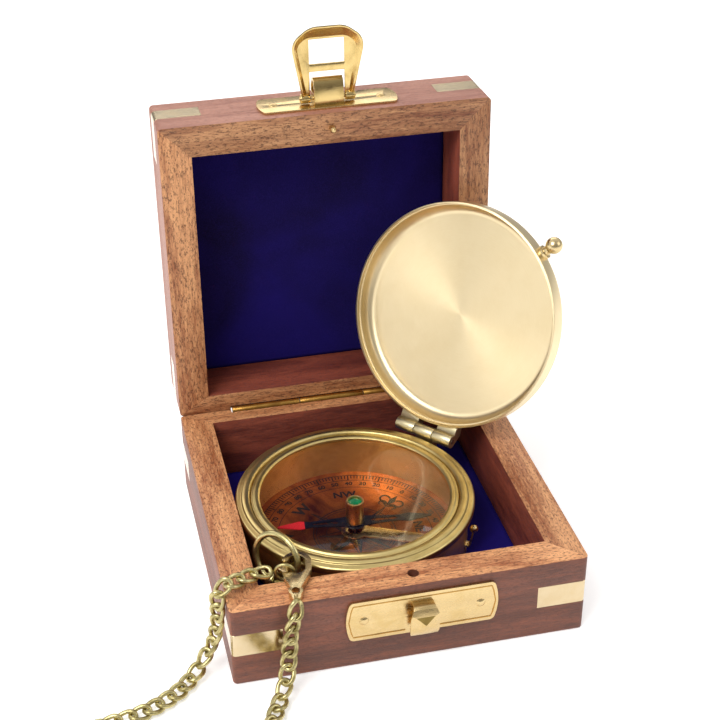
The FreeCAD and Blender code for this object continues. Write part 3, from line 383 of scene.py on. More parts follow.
def finish_of(name):
    """A material by its name, made once."""
    if not FINISHES:
        box = bpy.context.scene.compass_box
        case = bpy.context.scene.compass_case
        chain = bpy.context.scene.compass_chain
        for board, (rim, front) in BOARD_TONES.items():
            way = "X" if "front" in board or "back" in board else "Y"
            face = (box.face_light, box.face_dark)
            # the lid's outer faces are painted paler than the base's: the light falling on its one strip seen from
            # above is painted into their colour
            if board.startswith("lid"):
                face = (srgb("#bd8570"), srgb("#955b48"))
            looks = (("rim", box.rim_light, box.rim_dark, rim, 0.78), ("face", *face, front, 0.34),
                     ("inside", box.inside_light, box.inside_dark, 1.0, 0.34))
            for look, light, dark, tone, open_pores in looks:
                light, dark = ([min(1.0, v * tone) for v in colour[:3]] + [1.0] for colour in (light, dark))
                FINISHES["%s_%s" % (look, board)] = oiled_wood(
                    "oiled sheesham %s %s" % (look, board), light, dark, way, board.startswith("lid"), open_pores)
        FINISHES["velvet"] = cotton_velvet("cotton velvet blue", box.velvet, srgb("#161033"))
        # a paler, bluer copy of the same velvet for the base: painted light that offsets the shade and red bounce
        # inside the base
        FINISHES["velvet_base_painted_lighter"] = cotton_velvet("cotton velvet blue base", srgb("#2a2090"), srgb("#1d1756"))
        FINISHES["brass"] = polished_brass("polished rolled brass", case.brass, srgb("#cbab6a"), 0.24, 0.5)
        FINISHES["inlay"] = polished_brass("polished strip brass", srgb("#d6c29e"), srgb("#cbb07f"), 0.13, 0.4)
        FINISHES["hasp_brass"] = polished_brass("polished hasp brass", srgb("#dcbf80"), srgb("#a58846"), 0.18, 0.5)
        FINISHES["hinge_brass"] = polished_brass("rolled hinge brass", srgb("#b98b45"), srgb("#6f4c22"), 0.3, 0.8)
        # a darker brass for the nose's facet: painted shade on the face that turns away from the light
        FINISHES["painted_shade_facet_brass"] = polished_brass("shaded boss brass", srgb("#8c7641"), srgb("#5f4b24"), 0.25, 0.5)
        FINISHES["silver_brass"] = polished_brass("nickelled brass", srgb("#dccfa8"), srgb("#b5a67e"), 0.34)
        FINISHES["cover"] = spun_brass("spun pale brass", case.pale, srgb("#e2cb9a"), 0.36, 1.6, 0.4, 0.6)
        FINISHES["bezel"] = spun_brass("turned case brass", case.olive, srgb("#a98f4a"), 0.34, 1.2, 0.7, 0.5)
        FINISHES["bowl"] = spun_brass("turned bowl brass", srgb("#e6c588"), srgb("#a2743a"), 0.3, 1.0, 0.5, 0.6)
        FINISHES["bowl_plain"] = polished_brass("drawn bowl brass", srgb("#ffd88c"), srgb("#c98d44"), 0.34, 0.7,
                                                14.0)
        FINISHES["worn_brass"] = polished_brass("worn lacquered brass", chain.brass, srgb("#7a6c3a"), 0.3, 0.9, 3.0)
        FINISHES["hinge_pale"] = polished_brass("pale turned brass", srgb("#dcc696"), srgb("#b39a62"), 0.24)
        FINISHES["steel"] = plated_steel("satin steel", srgb("#a39b8a"))
        FINISHES["blued"] = thin_coat("blued steel", srgb("#0e1420"), srgb("#4b5460"), 0.3, 1.1, 0.3)
        FINISHES["red"] = thin_coat("red lacquer", srgb("#e2262c"), srgb("#a3141b"), 0.4)
        FINISHES["glass"] = clear_glass("clear watch glass")
        FINISHES["dial"] = etched_copper("etched lacquered copper", case.dial, srgb("#6a3420"))
        FINISHES["ink"] = thin_coat("black infill", srgb("#150d0a"), srgb("#4a2818"), 0.5, 0.7)
        FINISHES["jewel"] = thin_coat("green glass jewel", srgb("#0c8a50"), srgb("#04502f"), 0.15, 2.0, 0.0,
                                      0.8, 0.5)
    return FINISHES[name]


# ---- mesh tools ----
def put(mesh, name, finishes, body, stands_for=(), smooth=40.0):
    """Make an object of a mesh in metres, shade it, and let it ride on its body."""
    mesh.name = name
    for finish in finishes:
        mesh.materials.append(finish_of(finish))
    mesh.shade_smooth()
    mesh.set_sharp_from_angle(angle=math.radians(smooth))
    piece = bpy.data.objects.new(name, mesh)
    bpy.context.scene.collection.objects.link(piece)
    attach(piece, body)
    if stands_for:
        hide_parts(*stands_for)
    return piece


def settled(piece):
    """The piece's evaluated mesh, modifiers applied; the piece itself is removed."""
    bpy.context.view_layer.update()
    graph = bpy.context.evaluated_depsgraph_get()
    mesh = bpy.data.meshes.new_from_object(piece.evaluated_get(graph), depsgraph=graph)
    bpy.data.objects.remove(piece)
    mesh.materials.clear()
    return mesh


def merged_copy(node):
    """A CAD node's mesh in its own place, with its doubles merged and its flat faces whole."""
    mesh = frame["nodes"][node].data.copy()
    work = bmesh.new()
    work.from_mesh(mesh)
    bmesh.ops.remove_doubles(work, verts=work.verts, dist=2e-6)
    bmesh.ops.dissolve_limit(work, angle_limit=math.radians(0.6), verts=work.verts, edges=work.edges)
    work.to_mesh(mesh)
    work.free()
    mesh.materials.clear()
    return mesh


def eased(mesh, width, segments=2, angle=32.0):
    """The mesh with its sharp edges rounded."""
    piece = bpy.data.objects.new("easing", mesh)
    bpy.context.scene.collection.objects.link(piece)
    bevel = piece.modifiers.new("edges", "BEVEL")
    bevel.width = width
    bevel.segments = segments
    bevel.limit_method = "ANGLE"
    bevel.angle_limit = math.radians(angle)
    bevel.use_clamp_overlap = True
    bevel.miter_outer = "MITER_ARC"
    return settled(piece)


def fitting(node, finish, width=None, segments=2, smooth=40.0):
    """A metal fitting: the CAD shape with eased edges, in its finish."""
    width = bpy.context.scene.compass_case.edge if width is None else width
    mesh = eased(merged_copy(node), width, segments)
    return put(mesh, node + "_finished", [finish], BODY_OF[node], [node], smooth)


def lathed(profile, place, steps=None):
    """Turn a closed (radius, height) outline in millimetres about Z; its map runs round and along the outline."""
    steps = steps or bpy.context.scene.compass_case.steps
    work = bmesh.new()
    layer = work.loops.layers.uv.new("turning")
    rings = []
    for radius, height in profile:
        if radius < 1e-6:
            rings.append([work.verts.new((0, 0, height))] * steps)
        else:
            rings.append([work.verts.new((radius * math.cos(math.tau * k / steps),
                                          radius * math.sin(math.tau * k / steps), height)) for k in range(steps)])
    run = [0.0]
    for (r0, z0), (r1, z1) in zip(profile, profile[1:] + profile[:1]):
        run.append(run[-1] + math.hypot(r1 - r0, z1 - z0))
    for i in range(len(profile)):
        low, high = rings[i], rings[(i + 1) % len(profile)]
        if profile[i][0] < 1e-6 and profile[(i + 1) % len(profile)][0] < 1e-6:
            continue
        for k in range(steps):
            n = (k + 1) % steps
            around = [(low[k], k, run[i]), (low[n], k + 1, run[i]), (high[n], k + 1, run[i + 1]),
                      (high[k], k, run[i + 1])]
            seen, loop_data = [], []
            for vert, u, v in around:
                if vert not in seen:
                    seen.append(vert)
                    loop_data.append((u / steps, v))
            face = work.faces.new(seen)
            for loop, uv in zip(face.loops, loop_data):
                loop[layer].uv = uv
    bmesh.ops.recalc_face_normals(work, faces=work.faces)
    return baked(work, place)


def baked(work, place):
    """Finish a bmesh in millimetres: put it in place and return it as a mesh in metres."""
    work.transform(Matrix.Scale(MM, 4) @ place)
    mesh = bpy.data.meshes.new("turned")
    work.to_mesh(mesh)
    work.free()
    return mesh


def rounded(profile, radius, steps=3, keep=()):
    """The outline with each corner replaced by a small arc, except the corners on the axis."""
    out = []
    count = len(profile)
    for i, point in enumerate(profile):
        here = Vector(point)
        if here.x < 1e-6 or i in keep:
            out.append(tuple(here))
            continue
        back = Vector(profile[i - 1]) - here
        ahead = Vector(profile[(i + 1) % count]) - here
        reach = min(radius, back.length * 0.45, ahead.length * 0.45)
        enter, leave = here + back.normalized() * reach, here + ahead.normalized() * reach
        for k in range(steps + 1):
            t = k / steps
            out.append(tuple(enter * (1 - t) ** 2 + here * 2 * t * (1 - t) + leave * t * t))
    return out


def extruded(outline, low, high, work):
    """Add a flat closed outline of (x, y), pushed from one height to another, to a bmesh."""
    below = [work.verts.new((x, y, low)) for x, y in outline]
    above = [work.verts.new((x, y, high)) for x, y in outline]
    work.faces.new(list(reversed(below)))
    work.faces.new(above)
    for i in range(len(outline)):
        n = (i + 1) % len(outline)
        work.faces.new((below[i], below[n], above[n], above[i]))


# ---- one node tree repeats a piece on points ----
def repeat_tree():
    """Geometry Nodes: an object on every point, turned and stretched by the points' attributes."""
    name = "repeat a piece on points"
    if name in bpy.data.node_groups:
        return bpy.data.node_groups[name]
    tree = bpy.data.node_groups.new(name, "GeometryNodeTree")
    tree.interface.new_socket("Points", in_out="INPUT", socket_type="NodeSocketGeometry")
    tree.interface.new_socket("Piece", in_out="INPUT", socket_type="NodeSocketObject")
    tree.interface.new_socket("Finish", in_out="INPUT", socket_type="NodeSocketMaterial")
    tree.interface.new_socket("Pieces", in_out="OUTPUT", socket_type="NodeSocketGeometry")
    way_in = add_node(tree, "NodeGroupInput")
    source = add_node(tree, "GeometryNodeObjectInfo", None, {
        "Object": way_in.outputs["Piece"], "As Instance": True})
    turn = add_node(tree, "GeometryNodeInputNamedAttribute", {"data_type": "FLOAT_VECTOR"}, {"Name": "turn"})
    turn = add_node(tree, "FunctionNodeEulerToRotation", None, {0: turn.outputs[0]})
    stretch = add_node(tree, "GeometryNodeInputNamedAttribute", {"data_type": "FLOAT_VECTOR"}, {"Name": "stretch"})
    placed = add_node(tree, "GeometryNodeInstanceOnPoints", None, {
        "Points": way_in.outputs["Points"], "Instance": source.outputs["Geometry"], "Rotation": turn.outputs[0],
        "Scale": stretch.outputs[0]})
    real = add_node(tree, "GeometryNodeRealizeInstances", None, {"Geometry": placed.outputs[0]})
    coated = add_node(tree, "GeometryNodeSetMaterial", None, {
        "Geometry": real.outputs[0], "Material": way_in.outputs["Finish"]})
    add_node(tree, "NodeGroupOutput", None, {"Pieces": coated.outputs[0]})
    return tree


def repeated(name, source_mesh, places, finish, body, stands_for=(), smooth=40.0):
    """A piece on every place; a place is (position in metres, rotation matrix, stretch)."""
    points = bpy.data.meshes.new(name + "_points")
    points.from_pydata([tuple(p) for p, _, _ in places], [], [])
    turn = points.attributes.new("turn", "FLOAT_VECTOR", "POINT")
    stretch = points.attributes.new("stretch", "FLOAT_VECTOR", "POINT")
    for i, (_, matrix, size) in enumerate(places):
        turn.data[i].vector = matrix.to_euler("XYZ")
        stretch.data[i].vector = size
    source = bpy.data.objects.new(name + "_one", source_mesh)
    bpy.context.scene.collection.objects.link(source)
    holder = bpy.data.objects.new(name + "_holder", points)
    bpy.context.scene.collection.objects.link(holder)
    tree = repeat_tree()
    modifier = holder.modifiers.new("repeat", "NODES")
    modifier.node_group = tree
    keys = {item.name: item.identifier for item in tree.interface.items_tree}
    modifier[keys["Piece"]] = source
    modifier[keys["Finish"]] = finish_of(finish)
    mesh = settled(holder)
    bpy.data.objects.remove(source)
    return put(mesh, name, [finish], body, stands_for, smooth)


# ---- the box ----
class COMPASS_OT_boards(bpy.types.Operator):
    """Box and lid boards with sanded edges"""
    bl_idname = "compass.boards"
    bl_label = "Wooden boards"

    def execute(self, context):
        edge = context.scene.compass_box.edge
        for part, back in (("base", PLAIN), ("lid", LID_UP.inverted())):
            for side in ("front_board", "back_board", "left_board", "right_board"):
                node = "%s_%s" % (part, side)
                mesh = eased(merged_copy(node), edge, 3, 50.0)
                for face in mesh.polygons:
                    centre = back @ (face.center / MM)
                    normal = back.to_3x3() @ face.normal
                    inside = abs(centre.x) < WALL_INSIDE[0] and WALL_INSIDE[1] < centre.y < WALL_INSIDE[2]
                    at_rim = abs(centre.z - RIM_Z) < 0.6
                    face.material_index = 0 if at_rim else 2 if inside else 1
                put(mesh, node + "_wood", ["rim_" + node, "face_" + node, "inside_" + node], BODY_OF[node],
                    [node], 30.0)
            panel = "base_bottom_panel" if part == "base" else "lid_top_panel"
            # the lid's top panel takes the lid front board's outer face, with its painted light
            put(merged_copy(panel), panel + "_wood", ["face_" + part + "_front_board"], BODY_OF[panel],
                [panel])
        return {"FINISHED"}


class COMPASS_OT_velvet(bpy.types.Operator):
    """Velvet linings in the base and the lid"""
    bl_idname = "compass.velvet"
    bl_label = "Velvet linings"

    def execute(self, context):
        for node, up in (("base_velvet", Vector((0, 0, 1))), ("lid_velvet", LID_UP.to_3x3() @ Vector((0, 0, -1)))):
            work = bmesh.new()
            work.from_mesh(merged_copy(node))
            bmesh.ops.subdivide_edges(work, edges=work.edges, cuts=70, use_grid_fill=True)
            # the glued cloth is never quite flat: hollows of a tenth of a millimetre
            for vert in work.verts:
                depth = noise.noise(vert.co * 70.0) * 0.5 + noise.noise(vert.co * 240.0) * 0.25 - 0.6
                vert.co += up * depth * 0.00018
            mesh = bpy.data.meshes.new(node)
            work.to_mesh(mesh)
            work.free()
            # the base's lining takes the paler copy of the velvet, painted lighter against its shade
            finish = "velvet" if node == "lid_velvet" else "velvet_base_painted_lighter"
            put(mesh, node + "_pile", [finish], BODY_OF[node], [node], 60.0)
        return {"FINISHED"}


class COMPASS_OT_inlays(bpy.types.Operator):
    """Brass strips let into the corners"""
    bl_idname = "compass.inlays"
    bl_label = "Corner inlays"

    def execute(self, context):
        for node in ("base_corner_inlays", "lid_corner_inlays"):
            fitting(node, "inlay", 0.00006, 1, 25.0)
        return {"FINISHED"}


class COMPASS_OT_box_hinge(bpy.types.Operator):
    """The box's long hinge with its leaves, pin and screws"""
    bl_idname = "compass.box_hinge"
    bl_label = "Box hinge"

    def execute(self, context):
        for node in ("base_hinge_leaf", "lid_hinge_leaf"):
            fitting(node, "hinge_brass")
        fitting("box_hinge_pin", "steel")
        for node in ("base_hinge_screws", "lid_hinge_screws"):
            fitting(node, "hinge_brass", 0.00004, 1)
        return {"FINISHED"}


def nose_cap():
    """The catch's nose: a folded strip with a boss pressed into it, so that its ridge ends in a facet."""
    low, high = corners("catch_nose")
    half = (high.x - low.x) / 2 - 0.02
    mid = (high.x + low.x) / 2
    wall = high.y
    # (share of the half width, distance out of the plate, height) row by row from the top
    rows = [
        [(-0.70, 0.05, 21.3), (0, 0.05, 21.3), (0.70, 0.05, 21.3)],
        [(-0.74, 2.2, 21.1), (0, 2.2, 21.1), (0.74, 2.2, 21.1)],
        [(-0.80, 3.2, 20.5), (0, 3.2, 20.5), (0.80, 3.2, 20.5)],
        [(-0.94, 3.7, 18.9), (0, 3.8, 18.9), (0.94, 3.7, 18.9)],
        [(-1, 3.6, 17.6), (0, 4.36, 15.4), (1, 3.6, 17.6)],
        [(-1, 2.9, 12.2), (0, 3.0, 12.2), (1, 2.9, 12.2)],
        [(-0.94, 2.4, 10.75), (0, 2.45, 10.72), (0.94, 2.4, 10.75)],
    ]
    work = bmesh.new()
    front = [[work.verts.new((mid + u * half, wall - out, z)) for u, out, z in row] for row in rows]
    # the boss's facet is a triangle standing on its tip
    left = work.verts.new((mid - 0.66 * half, wall - 3.95, 18.4))
    right = work.verts.new((mid + 0.66 * half, wall - 3.95, 18.4))
    for k in range(3):
        for j in range(2):
            work.faces.new((front[k][j], front[k + 1][j], front[k + 1][j + 1], front[k][j + 1]))
    a, b, c, d = front[3], front[4], front[5], front[6]
    work.faces.new((a[0], left, right, a[2], a[1]))
    work.faces.new((left, b[1], right))
    for side, near in ((0, left), (2, right)):
        work.faces.new((a[side], b[side], near))
        work.faces.new((b[side], b[1], near))
        work.faces.new((b[side], c[side], b[1]))
        work.faces.new((c[side], c[1], b[1]))
    for j in range(2):
        work.faces.new((c[j], d[j], d[j + 1], c[j + 1]))
    bmesh.ops.recalc_face_normals(work, faces=work.faces)
    if sum(face.normal.y for face in work.faces) > 0:
        bmesh.ops.reverse_faces(work, faces=work.faces)
    mesh = baked(work, PLAIN)
    piece = bpy.data.objects.new("nose", mesh)
    bpy.context.scene.collection.objects.link(piece)
    wall_maker = piece.modifiers.new("sheet", "SOLIDIFY")
    wall_maker.thickness = 0.0006
    wall_maker.offset = -1.0
    mesh = eased(settled(piece), 0.00012, 2, 12.0)
    # the triangular facet under the ridge gets the darker brass: painted shade
    for face in mesh.polygons:
        centre = face.center / MM
        share = (centre.z - 15.4) / 3.0
        inside = abs(centre.x - mid) < 0.66 * half * share and 0.05 < share < 0.98
        face.material_index = 1 if inside and wall - centre.y > 3.8 else 0
    put(mesh, "catch_nose_pressed", ["brass", "painted_shade_facet_brass"], "base", ["catch_nose"], 30.0)


def plate_bead(name, wall, middle, size, gap):
    """A bead rolled into the catch plate a little inside its edge, left out where the nose comes through."""
    half_x, half_z = size[0] / 2 - 1.5, size[1] / 2 - 1.3
    work = bmesh.new()
    for points in ([(-half_x + 0.6, half_z), (half_x - 0.6, half_z)],
                   [(half_x - 0.6, half_z), (half_x, half_z * 0.7), (half_x + 0.7, 0), (half_x, -half_z * 0.7),
                    (half_x - 0.6, -half_z), (gap, -half_z)],
                   [(-half_x + 0.6, half_z), (-half_x, half_z * 0.7), (-half_x - 0.7, 0), (-half_x, -half_z * 0.7),
                    (-half_x + 0.6, -half_z), (-gap, -half_z)]):
        stroke(work, points, 0.34, 0.0, 0.1)
    place = Matrix.Translation((middle[0], wall, middle[1])) @ Matrix.Rotation(math.pi / 2, 4, "X")
    bmesh.ops.recalc_face_normals(work, faces=work.faces)
    put(baked(work, place), name, ["hinge_brass"], "base")


def hasp_edge(inset, drop, height):
    """Half round the hasp from one root over its arched tip to the other, drawn in from its open rim."""
    right = rounded([(0, 23.5 - drop), (5.6 + drop * 0.2, 23.5 - drop), (11.75 - inset, 18.9 - drop * 0.5),
                     (8.7 - inset, -0.8)], 4.2, 7, keep=(3,))
    line = list(reversed(right)) + [(-x, y) for x, y in right[1:]]
    out = []
    for x, y in line:
        # the flange fades out towards the pivot
        h = height if height > -1 else max(height, -1.0 - max(0.0, y - 2.0) * 0.23)
        out.append((x - math.copysign(1.3 * (h - height) / 2.8, x), y, h))
    return out


def hasp_pan():
    """The hasp: a dished stamping with sloping sides, a window for the nose and a slot for the tongue."""
    work = bmesh.new()
    rim_out, flat_out, flat_in, rim_in = ([work.verts.new(p) for p in hasp_edge(*row)] for row in (
        (0, 0, -2.4), (1.5, 3.2, 0.4), (2.3, 4.0, -0.4), (0.8, 0.8, -2.4)))
    for one, two in ((rim_out, flat_out), (flat_in, rim_in), (rim_in, rim_out)):
        for k in range(len(one) - 1):
            work.faces.new((one[k], one[k + 1], two[k + 1], two[k]))
    slot = [(-5.6, -0.8), (-5.6, 8.5), (5.6, 8.5), (5.6, -0.8)]
    window = [(-5.6, 10.9), (5.6, 10.9), (5.6, 18.8), (-5.6, 18.8)]
    slots, windows = [], []
    for edge, h in ((flat_out, 0.4), (flat_in, -0.4)):
        slots.append([work.verts.new((x, y, h)) for x, y in slot])
        windows.append([work.verts.new((x, y, h)) for x, y in window])
        around = edge + slots[-1]
        loops = [work.edges.get(pair) or work.edges.new(pair) for pair in zip(around, around[1:] + around[:1])]
        loops += [work.edges.new(pair) for pair in zip(windows[-1], windows[-1][1:] + windows[-1][:1])]
        bmesh.ops.triangle_fill(work, use_beauty=True, use_dissolve=False, edges=loops)
    for k in range(4):
        n = (k + 1) % 4
        work.faces.new((windows[0][k], windows[0][n], windows[1][n], windows[1][k]))
        if k < 3:
            work.faces.new((slots[0][k], slots[0][n], slots[1][n], slots[1][k]))
    for end, near in ((0, 3), (-1, 0)):
        work.faces.new((rim_out[end], flat_out[end], slots[0][near], slots[1][near], flat_in[end], rim_in[end]))
    for side in (-1, 1):
        bmesh.ops.create_cone(work, cap_ends=True, segments=32, radius1=1.5, radius2=1.5, depth=3.0,
                              matrix=Matrix.Translation((side * 7.15, 0, 0)) @ Matrix.Rotation(math.pi / 2, 4, "Y"))
    bmesh.ops.dissolve_limit(work, angle_limit=math.radians(0.5), verts=work.verts, edges=work.edges)
    bmesh.ops.recalc_face_normals(work, faces=work.faces)
    pivot = Vector(JOINTS["hasp_hinge"]["pos_m"]) / MM
    place = Matrix.Translation(pivot) @ LID_UP.to_3x3().to_4x4() @ Matrix.Rotation(math.pi, 4, "Z")
    mesh = eased(baked(work, place), 0.00015, 2, 30.0)
    put(mesh, "hasp_pressed", ["hasp_brass"], "hasp", ["hasp"], 32.0)


class COMPASS_OT_catch(bpy.types.Operator):
    """Catch plate and nose, hasp plate, tongue, hasp and nails"""
    bl_idname = "compass.catch"
    bl_label = "Catch and hasp"

    def execute(self, context):
        for node in ("catch_plate", "hasp_plate"):
            fitting(node, "brass", 0.00018, 2)
        fitting("hasp_tongue", "hasp_brass", 0.0006, 4, 50.0)
        hasp_pan()
        nose_cap()
        low, high = corners("catch_plate")
        plate_bead("catch_plate_bead", low.y + 0.02, ((low.x + high.x) / 2, (low.z + high.z) / 2),
                   (high.x - low.x, high.z - low.z), 5.2)
        for node in ("hasp_pin", "locating_pin"):
            fitting(node, "brass", 0.0001, 2)
        for node in ("catch_plate_nails", "hasp_plate_nails"):
            fitting(node, "brass", 0.00004, 1)
        return {"FINISHED"}


# ---- the compass ----
def turned_piece(node, profile, finish, place=IN_CASE, smooth=38.0, steps=None):
    """A turned part of the compass that stands for its CAD node."""
    mesh = lathed(profile, place, steps)
    return put(mesh, node + "_turned", [finish], BODY_OF[node], [node], smooth)


class COMPASS_OT_case(bpy.types.Operator):
    """Case bowl, bezel, glass and its retaining ring"""
    bl_idname = "compass.case"
    bl_label = "Case"

    def execute(self, context):
        fitting("case_bowl", "bowl_plain", 0.0001, 2)
        turned_piece("bezel", rounded([
            (33.5, 22.42), (36.9, 22.42), (37.38, 22.9), (37.38, 24.6), (36.9, 25.13), (35.4, 25.28), (35.2, 25.8),
            (34.2, 26.08), (33.3, 25.98), (32.9, 25.7), (32.55, 25.0), (32.5, 23.9), (31.2, 23.9), (31.2, 23.2),
            (33.5, 23.2)], 0.3, 4), "bezel")
        turned_piece("glass", rounded([(0, 23.95), (32.35, 23.95), (32.35, 24.97), (0, 24.97)], 0.1, 2), "glass")
        turned_piece("glass_retaining_ring", rounded([
            (29.65, 25.02), (32.35, 25.02), (32.35, 25.3), (31.7, 25.36), (31.2, 25.78), (30.3, 25.78),
            (29.65, 25.4)], 0.15), "bezel")
        turned_piece("dial_spacer_ring", [(31.4, 7.02), (33.4, 7.02), (33.4, 8.78), (31.4, 8.78)], "bowl")
        fitting("case_hinge_bracket", "silver_brass", 0.0002)
        fitting("compass_hinge_pin", "steel", 0.0001)
        fitting("bow", "worn_brass", 0.0002)
        return {"FINISHED"}


def stroke(work, points, width, low=INK[0], high=INK[1]):
    """A flat line of even width through (x, y) points, as a thin closed ribbon."""
    path = [Vector(p) for p in points]
    left, right = [], []
    for i, here in enumerate(path):
        ahead = path[min(i + 1, len(path) - 1)] - path[max(i - 1, 0)]
        side = Vector((-ahead.y, ahead.x)).normalized() * width / 2
        left.append(here + side)
        right.append(here - side)
    extruded([tuple(p) for p in left + list(reversed(right))], low, high, work)


def arc(cx, cy, radius, start, end, steps=12):
    """Points of an arc in degrees."""
    return [(cx + radius * math.cos(math.radians(start + (end - start) * k / steps)),
             cy + radius * math.sin(math.radians(start + (end - start) * k / steps))) for k in range(steps + 1)]


def lettered(text, size, radius, bearing, work, weight):
    """Flat letters on the dial whose tops point outward, at a bearing in degrees clockwise from north."""
    curve = bpy.data.curves.new("letter", "FONT")
    curve.body = text
    curve.size = size
    curve.align_x = "CENTER"
    curve.align_y = "CENTER"
    curve.offset = size * weight
    curve.extrude = 0.02
    holder = bpy.data.objects.new("letter", curve)
    bpy.context.scene.collection.objects.link(holder)
    mesh = settled(holder)
    turn = -math.radians(bearing)
    # north lies along +X of the case's own frame
    spot = Matrix.Translation((radius * math.cos(turn), radius * math.sin(turn), DIAL_TOP + 0.03))
    mesh.transform(spot @ Matrix.Rotation(turn - math.pi / 2, 4, "Z"))
    work.from_mesh(mesh)
    bpy.data.meshes.remove(mesh)
    bpy.data.curves.remove(curve)


class COMPASS_OT_dial(bpy.types.Operator):
    """Copper dial with its degree ring, letters and rose"""
    bl_idname = "compass.dial"
    bl_label = "Dial"

    def execute(self, context):
        turned_piece("dial_plate", [(1.6, 8.82), (33.4, 8.82), (33.4, 9.4), (1.6, 9.4)], "dial")
        bar = bmesh.new()
        bmesh.ops.create_cube(bar, size=1.0)
        bar_mesh = baked(bar, PLAIN)
        ticks = []
        for k in range(180):
            angle = math.tau * k / 180
            inner = 28.7 if k % 5 == 0 else 29.5
            middle = (inner + 31.0) / 2
            spot = IN_CASE @ Vector((middle * math.cos(angle), middle * math.sin(angle), DIAL_TOP + 0.03))
            turn = Matrix.Rotation(HINGE_AZ + angle, 4, "Z")
            ticks.append((spot * MM, turn, (31.0 - inner, 0.34 if k % 5 else 0.42, 0.04)))
        repeated("dial_degree_ticks", bar_mesh, ticks, "ink", "base")
        work = bmesh.new()
        for radius, width in ((31.2, 0.3), (28.5, 0.25), (24.6, 0.22), (13.2, 0.3), (12.2, 0.2), (9.0, 0.2)):
            outer, inner = ([work.verts.new((x, y, DIAL_TOP + 0.04)) for x, y in arc(0, 0, r, 0, 360, 120)[:-1]]
                            for r in (radius + width / 2, radius - width / 2))
            for i in range(len(outer)):
                n = (i + 1) % len(outer)
                work.faces.new((outer[i], outer[n], inner[n], inner[i]))
        # an eight-pointed rose, each point half filled
        for k in range(8):
            way = math.tau * k / 8
            tip_r = 17.5 if k % 2 == 0 else 12.0
            tip = Vector((tip_r * math.cos(way), tip_r * math.sin(way)))
            for side in (-1, 1):
                root_way = way + side * math.tau / 16
                root = Vector((4.6 * math.cos(root_way), 4.6 * math.sin(root_way)))
                start = Vector((2.2 * math.cos(way), 2.2 * math.sin(way)))
                if side > 0:
                    extruded([tuple(start), tuple(tip), tuple(root)], *INK, work)
                else:
                    stroke(work, [tuple(tip), tuple(root)], 0.3)
        # the north mark: a spear between two pairs of curls
        extruded([(17.6, 0), (21.0, 1.1), (24.2, 0), (21.0, -1.1)], *INK, work)
        for side in (-1, 1):
            stroke(work, arc(20.6, side * 2.6, 1.6, 200 * side, -60 * side, 14), 0.62)
            stroke(work, arc(18.2, side * 1.9, 1.2, 160 * side, -80 * side, 12), 0.5)
            stroke(work, [(17.4, side * 0.2), (19.0, side * 2.4)], 0.5)
        stroke(work, [(18.6, -3.0), (18.6, 3.0)], 0.5)
        for bearing, text in ((90, "E"), (180, "S"), (270, "W")):
            lettered(text, 5.6, 20.8, bearing, work, 0.04)
        for bearing, text in ((45, "NE"), (135, "SE"), (225, "SW"), (315, "NW")):
            lettered(text, 4.2, 20.6, bearing, work, 0.03)
        for quarter in range(4):
            for tens in range(9):
                shown = tens * 10 if quarter % 2 == 0 else 90 - tens * 10
                lettered(str(shown), 2.5, 26.6, quarter * 90 + tens * 10, work, 0.03)
        bmesh.ops.recalc_face_normals(work, faces=work.faces)
        put(baked(work, IN_CASE), "dial_markings", ["ink"], "base")
        return {"FINISHED"}


NEEDLE_WAY = math.radians(133.0)     # where the red end points, from the cover's hinge
RED_FROM = 16.0                      # the red begins this far from the pivot


class COMPASS_OT_needle(bpy.types.Operator):
    """Needle with its hub, cap tube, jewel and pivot"""
    bl_idname = "compass.needle"
    bl_label = "Needle"

    def execute(self, context):
        mesh = merged_copy("needle_blade")
        work = bmesh.new()
        work.from_mesh(mesh)
        way = Vector((math.cos(HINGE_AZ + NEEDLE_WAY), math.sin(HINGE_AZ + NEEDLE_WAY), 0))
        bmesh.ops.bisect_plane(work, geom=work.verts[:] + work.edges[:] + work.faces[:],
                               plane_co=(CASE + way * RED_FROM) * MM, plane_no=way)
        work.to_mesh(mesh)
        work.free()
        for face in mesh.polygons:
            face.material_index = 1 if (face.center / MM - CASE).dot(way) > RED_FROM else 0
        put(mesh, "needle_blade_finished", ["blued", "red"], "needle", ["needle_blade"])
        turned_piece("needle_hub", rounded([(1.6, 13.62), (3.55, 13.62), (3.55, 13.98), (1.6, 13.98)], 0.1),
                     "blued", steps=64)
        turned_piece("needle_cap", rounded([(2.25, 14.36), (2.8, 14.36), (2.8, 22.38), (2.25, 22.38)], 0.15),
                     "bowl", steps=64)
        turned_piece("cap_jewel", rounded([
            (0, 20.9), (2.22, 20.78), (2.22, 21.5), (1.8, 21.42), (1.2, 21.1), (0, 20.98)], 0.1), "jewel", steps=64)
        turned_piece("pivot_post", [(0, 7.02), (2.4, 7.02), (2.4, 7.8), (0.7, 7.8), (0.7, 18.65), (0.08, 20.84),
                                    (0, 20.85)], "steel", steps=32)
        return {"FINISHED"}


class COMPASS_OT_lifter(bpy.types.Operator):
    """The lever that lifts the needle off its pivot"""
    bl_idname = "compass.lifter"
    bl_label = "Needle lifter"

    def execute(self, context):
        fitting("lifter_lever", "hinge_pale", 0.00008)
        fitting("lifter_ball", "brass", 0.00002, 1, 60.0)
        fitting("lifter_pivot_pin", "steel", 0.00005)
        return {"FINISHED"}


